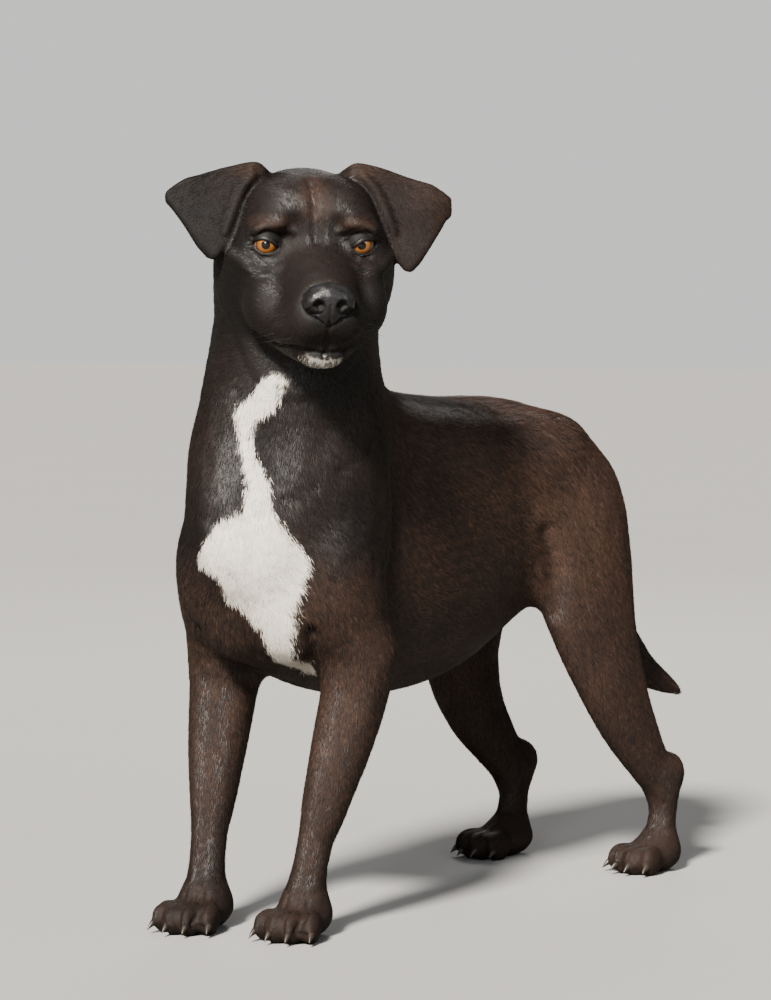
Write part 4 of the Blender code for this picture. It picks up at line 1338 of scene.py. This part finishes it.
def buildLids(side, material):
    place = eyeFrame(side)
    steps = lidSettings["steps"]
    section = lidSettings["section"]
    points = []
    for step in range(steps):
        x, z = rimOf(2 * math.pi * step / steps, side)
        turn = math.atan2(z, x)
        for spread, height in section:
            reach = eyeRadius + lidSettings["inner"] + lidSettings["thick"] * height
            tilt = math.asin(min(0.99, (math.hypot(x, z) + lidSettings["reach"] * spread) / eyeRadius))
            flat = reach * math.sin(tilt)
            spot = (flat * math.cos(turn), -reach * math.cos(tilt), flat * math.sin(turn))
            points.append(place.world(spot))
    count = len(section)
    whole = count * steps
    faces = []
    for step in range(steps):
        for k in range(count):
            a = step * count + k
            b = step * count + (k + 1) % count
            faces.append((a, b, (b + count) % whole, (a + count) % whole))
    lids = meshObject(f"eyelids_{sides[side]}", points, np.array(faces))
    outward(lids)
    smooth = lids.modifiers.new("smooth", "SUBSURF")
    smooth.levels = smooth.render_levels = 1
    lids.data.materials.append(material)
    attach(lids, "root")


print("eyes")
amberEye = eyeMaterial()
lidLeather = grainyMaterial("lidLeather", lidSettings)
for side in sides:
    buildEye(side, amberEye)
    buildLids(side, lidLeather)


whiskerSettings = {
    # where each group grows on the head, the way it points, and its length as a share of the longest
    "lip": {"roots": ((0.030, -0.072, -0.052), (0.033, -0.062, -0.056), (0.035, -0.052, -0.060),
                      (0.029, -0.070, -0.060), (0.033, -0.058, -0.066), (0.036, -0.046, -0.070),
                      (0.026, -0.074, -0.068), (0.031, -0.062, -0.074)),
            "way": (0.95, 0.10, -0.25), "share": 1.0},
    "brows": {"roots": ((0.034, -0.008, 0.0235), (0.038, -0.007, 0.0240)),
              "way": (0.35, -0.45, 0.85), "share": 0.7},
    "chin": {"roots": ((0.012, -0.074, -0.100), (0.017, -0.066, -0.100)),
             "way": (0.35, -0.30, -0.90), "share": 0.5},
}
whiskerShape = {"length": 0.024, "radius": 0.00026, "taper": 0.85, "back": (0, 1, -0.15), "bend": 0.45,
                "stray": 0.12, "rings": 10, "sides": 5, "seed": 21}


def tubeFaces(first, rings, count):
    # triangles between rings of points that follow one another
    faces = []
    for ring in range(rings - 1):
        for k in range(count):
            a = first + ring * count + k
            b = first + ring * count + (k + 1) % count
            faces += [(a, b, b + count), (a, b + count, a + count)]
    return faces


def buildWhiskers(material):
    rng = np.random.default_rng(whiskerShape["seed"])
    count = whiskerShape["sides"]
    rings = whiskerShape["rings"]
    turn = head.toWorld.to_3x3()
    back = np.array(turn @ Vector(whiskerShape["back"]))
    points = []
    faces = []
    planted = [(plan, side, root) for plan in whiskerSettings.values()
               for side in sides for root in plan["roots"]]
    for plan, side, (x, y, z) in planted:
        root = settle(np.array([head.world((side * x, y, z))]), 8, -0.0006)[0]
        wayX, wayY, wayZ = plan["way"]
        aim = Vector((side * wayX, wayY, wayZ)) + Vector(rng.normal(0, whiskerShape["stray"], 3))
        aim = np.array((turn @ aim).normalized())
        length = whiskerShape["length"] * plan["share"] * rng.uniform(0.7, 1.0)
        up = np.cross(aim, back)
        up /= np.linalg.norm(up)
        over = np.cross(up, aim)
        first = len(points)
        for ring in range(rings):
            along = ring / (rings - 1)
            middle = root + aim * length * along + back * length * whiskerShape["bend"] * along**2
            size = whiskerShape["radius"] * (1 - whiskerShape["taper"] * along)
            for k in range(count):
                angle = 2 * math.pi * k / count
                points.append(middle + size * (up * math.cos(angle) + over * math.sin(angle)))
        faces += tubeFaces(first, rings, count)
        last = first + (rings - 1) * count
        for k in range(1, count - 1):
            faces += [(first, first + k + 1, first + k), (last, last + k, last + k + 1)]
    whiskers = meshObject("whiskers", points, np.array(faces))
    outward(whiskers)
    whiskers.data.materials.append(material)
    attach(whiskers, "root")


print("whiskers")
buildWhiskers(lidLeather)


noseSettings = {
    "pitch": 0.0006,
    "smoothing": 2,
    "colour": (0.006, 0.006, 0.0065, 1),
    "sheen": (0.014, 0.013, 0.014, 1),
    "wet": (0.22, 0.42),  # roughness, least and most
    "grain": 120.0,
    "pebbles": 750.0,
    "bumpiness": 0.5,
    "bumpDepth": 0.0003,
    # hollows that make each nostril, which opens forward and to the side: middle, radii, turn and blend
    "nostril": (((0.0125, -0.1010, -0.0415), (0.0066, 0.0090, 0.0045), (32, 26), 0.004),
                ((0.0185, -0.0950, -0.0445), (0.0042, 0.0070, 0.0022), (30, 40), 0.003)),
    # the groove down the middle
    "groove": ((0, -0.1040, -0.0380, 0.0005), (0, -0.1035, -0.0480, 0.0010), (0, -0.1010, -0.0570, 0.0012)),
    "grooveBlend": 0.0025,
}


def noseMaterial():
    material, tree = newMaterial("wetNose")
    place = onPiece(tree)
    sockets = {"Vector": place, "Scale": noseSettings["pebbles"]}
    pebbles = addNode(tree, "ShaderNodeTexVoronoi", sockets).outputs["Distance"]
    grain = noise(tree, place, noseSettings["grain"], 2.0)
    colour = mixColour(tree, ramp(tree, grain, 0.3, 0.7), noseSettings["colour"], noseSettings["sheen"])
    setShader(tree, {
        "Base Color": colour,
        "Roughness": ramp(tree, grain, 0.3, 0.7, *noseSettings["wet"]),
        "Normal": bumps(tree, pebbles, noseSettings["bumpiness"], noseSettings["bumpDepth"], invert=True),
    })
    return material


def buildNose():
    pitch = noseSettings["pitch"]
    low, _, field = nodeBlock("nose", pitch, band=12, before=10, after=10)
    clay = Clay(low, softened(field, noseSettings["smoothing"]), pitch)
    for side in sides:
        for (x, y, z), radii, (turnY, turnZ), blend in noseSettings["nostril"]:
            mound(clay, head, (side * x, y, z), radii, (0, side * turnY, side * turnZ), blend, True)
    crease(clay, head, noseSettings["groove"], noseSettings["grooveBlend"])
    points, quads = surfaceOf(clay.field)
    nose = meshObject("nose_leather", (points + low) * pitch, quads)
    nose.data.materials.append(noseMaterial())
    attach(nose, "root")
    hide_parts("nose")


print("nose")
buildNose()


clawSettings = {
    "length": 0.0130,
    "radius": 0.0040,
    "narrow": 0.8,  # width as a share of height
    "point": 1.7,  # less than 2 makes a slimmer point
    "droop": 0.0050,
    "sides": 12,
    "rings": 10,
    "height": 0.0115,  # of the claw's root over the floor
    "ahead": (0.020, 0.029, 0.029, 0.020),  # from the paw's middle to each toe
    "gap": 0.0115,  # and on to its claw
    "out": 1.25,  # the claws stand wider than the clefts
    "turn": (12, 700),  # degrees down, and outward for each metre from the paw's middle
    "paws": (("fore", 0.038, 0.004), ("fore", -0.068, 0.002),  # their middles, in the bowed frame
             ("hind", 0.090, 0.548), ("hind", -0.088, 0.500)),
    "share": {"fore": 1.0, "hind": 0.95},
    "dark": (0.012, 0.010, 0.009, 1),
    "pale": (0.06, 0.045, 0.035, 1),
    "grain": 260.0,
    "detail": 3.0,
    "roughness": 0.34,
    "gloss": 0.5,
    "bumpiness": 0.15,
    "bumpDepth": 0.0003,
}


def clawPoints(matrix):
    # rings from the root to just short of the tip, then the tip and the middle of the root
    count = clawSettings["sides"]
    rings = clawSettings["rings"]
    points = []
    for ring in range(rings):
        share = ring / rings
        size = clawSettings["radius"] * (1 - share ** clawSettings["point"])
        drop = -clawSettings["droop"] * share**2
        for k in range(count):
            angle = 2 * math.pi * k / count
            wide = size * clawSettings["narrow"] * math.cos(angle)
            points.append((wide, -clawSettings["length"] * share, size * math.sin(angle) + drop))
    points.append((0, -clawSettings["length"], -clawSettings["droop"]))
    points.append((0, 0.001, 0))
    return [matrix @ Vector(point) for point in points]


def buildClaws():
    count = clawSettings["sides"]
    rings = clawSettings["rings"]
    down, outwardTurn = clawSettings["turn"]
    points = []
    faces = []
    for ends, x, y in clawSettings["paws"]:
        for toe, ahead in enumerate(clawSettings["ahead"]):
            off = (toe - 1.5) * pawSettings["toeSpacing"][ends]
            ahead = ahead * clawSettings["share"][ends]
            base = (x + off * clawSettings["out"], y - ahead - clawSettings["gap"], clawSettings["height"])
            first = len(points)
            points += clawPoints(spine.matrix(base) @ degrees(down, 0, off * outwardTurn).to_4x4())
            last = first + (rings - 1) * count
            tip = last + count
            back = tip + 1
            faces += tubeFaces(first, rings, count)
            for k in range(count):
                faces.append((last + k, last + (k + 1) % count, tip))
                faces.append((first + (k + 1) % count, first + k, back))
    claws = meshObject("claws", points, np.array(faces))
    outward(claws)
    claws.data.materials.append(grainyMaterial("darkHorn", clawSettings))
    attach(claws, "root")


print("claws")
buildClaws()


stageSettings = {
    "azimuth": 38.0,
    "pitch": 3.12,
    "place": (1.9671, -2.6272, 0.576),
    "lens": 118.8,
    "size": 30.0,
    "floor": (0.425, 0.422, 0.415, 1),
    "floorShade": (0.405, 0.402, 0.395, 1),
    "floorBounce": (0.14, 0.135, 0.12, 1),  # what the floor throws back on the dog
    "sky": (0.92, 0.915, 0.90, 1),
    "fill": 0.12,  # the sky's strength on the dog, and behind it
    "backdrop": 0.92,
}
# place, where it points, size (for the sun the angle across it), power and colour
lamps = {
    "keyLight": ("SUN", (0.9, -3.0, 2.5), (0, 0, 0), 9.0, 11.0, (1.0, 0.94, 0.86)),
    "sideLamp": ("AREA", (3.0, -0.6, 1.8), (0, 0, 0.35), 1.6, 16, (0.95, 0.97, 1.0)),
    "eyeLamp": ("AREA", (1.4, -3.0, 1.30), (0.08, -0.30, 0.64), 0.70, 30, (0.95, 0.98, 1.0)),
    "rimLamp": ("AREA", (-1.6, 2.4, 2.4), (0, 0.1, 0.45), 1.2, 32, (1.0, 0.98, 0.95)),
}


def buildStage():
    size = stageSettings["size"]
    corners = np.array([(-size, -size, 0), (size, -size, 0), (size, size, 0), (-size, size, 0)], float)
    floor = meshObject("floor", corners, np.array([(0, 1, 2, 3)]), smooth=False)
    material, tree = newMaterial("paleFloor")
    cloud = noise(tree, onPiece(tree), 2.0, 2.0)
    colour = mixColour(tree, cloud, stageSettings["floor"], stageSettings["floorShade"])
    seen = addNode(tree, "ShaderNodeLightPath").outputs["Is Camera Ray"]
    setShader(tree, {
        "Base Color": mixColour(tree, seen, stageSettings["floorBounce"], colour),
        "Roughness": 0.8,
    })
    floor.data.materials.append(material)
    world = bpy.data.worlds.new("studio")
    world.use_nodes = True
    tree = world.node_tree
    seen = addNode(tree, "ShaderNodeLightPath").outputs["Is Camera Ray"]
    background = tree.nodes["Background"].inputs
    put(tree, background["Color"], stageSettings["sky"])
    strength = ramp(tree, seen, 0.0, 1.0, stageSettings["fill"], stageSettings["backdrop"])
    put(tree, background["Strength"], strength)
    bpy.context.scene.world = world


def addLamp(name, kindOfLamp, place, target, size, power, colour):
    light = bpy.data.lights.new(name, kindOfLamp)
    if kindOfLamp == "SUN":
        light.angle = math.radians(size)
    else:
        light.shape = "DISK"
        light.size = size
    light.energy = power
    light.color = colour
    lamp = bpy.data.objects.new(name, light)
    lamp.location = place
    lamp.rotation_euler = (Vector(target) - Vector(place)).to_track_quat("-Z", "Y").to_euler()
    bpy.context.collection.objects.link(lamp)


def addCamera():
    data = bpy.data.cameras.new("camera")
    data.lens = stageSettings["lens"]
    data.sensor_width = 36.0
    data.clip_end = 100.0
    camera = bpy.data.objects.new("camera", data)
    camera.location = stageSettings["place"]
    pitch = math.radians(90 - stageSettings["pitch"])
    camera.rotation_euler = pitch, 0, math.radians(stageSettings["azimuth"])
    bpy.context.collection.objects.link(camera)
    bpy.context.scene.camera = camera


print("stage")
buildStage()
for name, plan in lamps.items():
    addLamp(name, *plan)
addCamera()
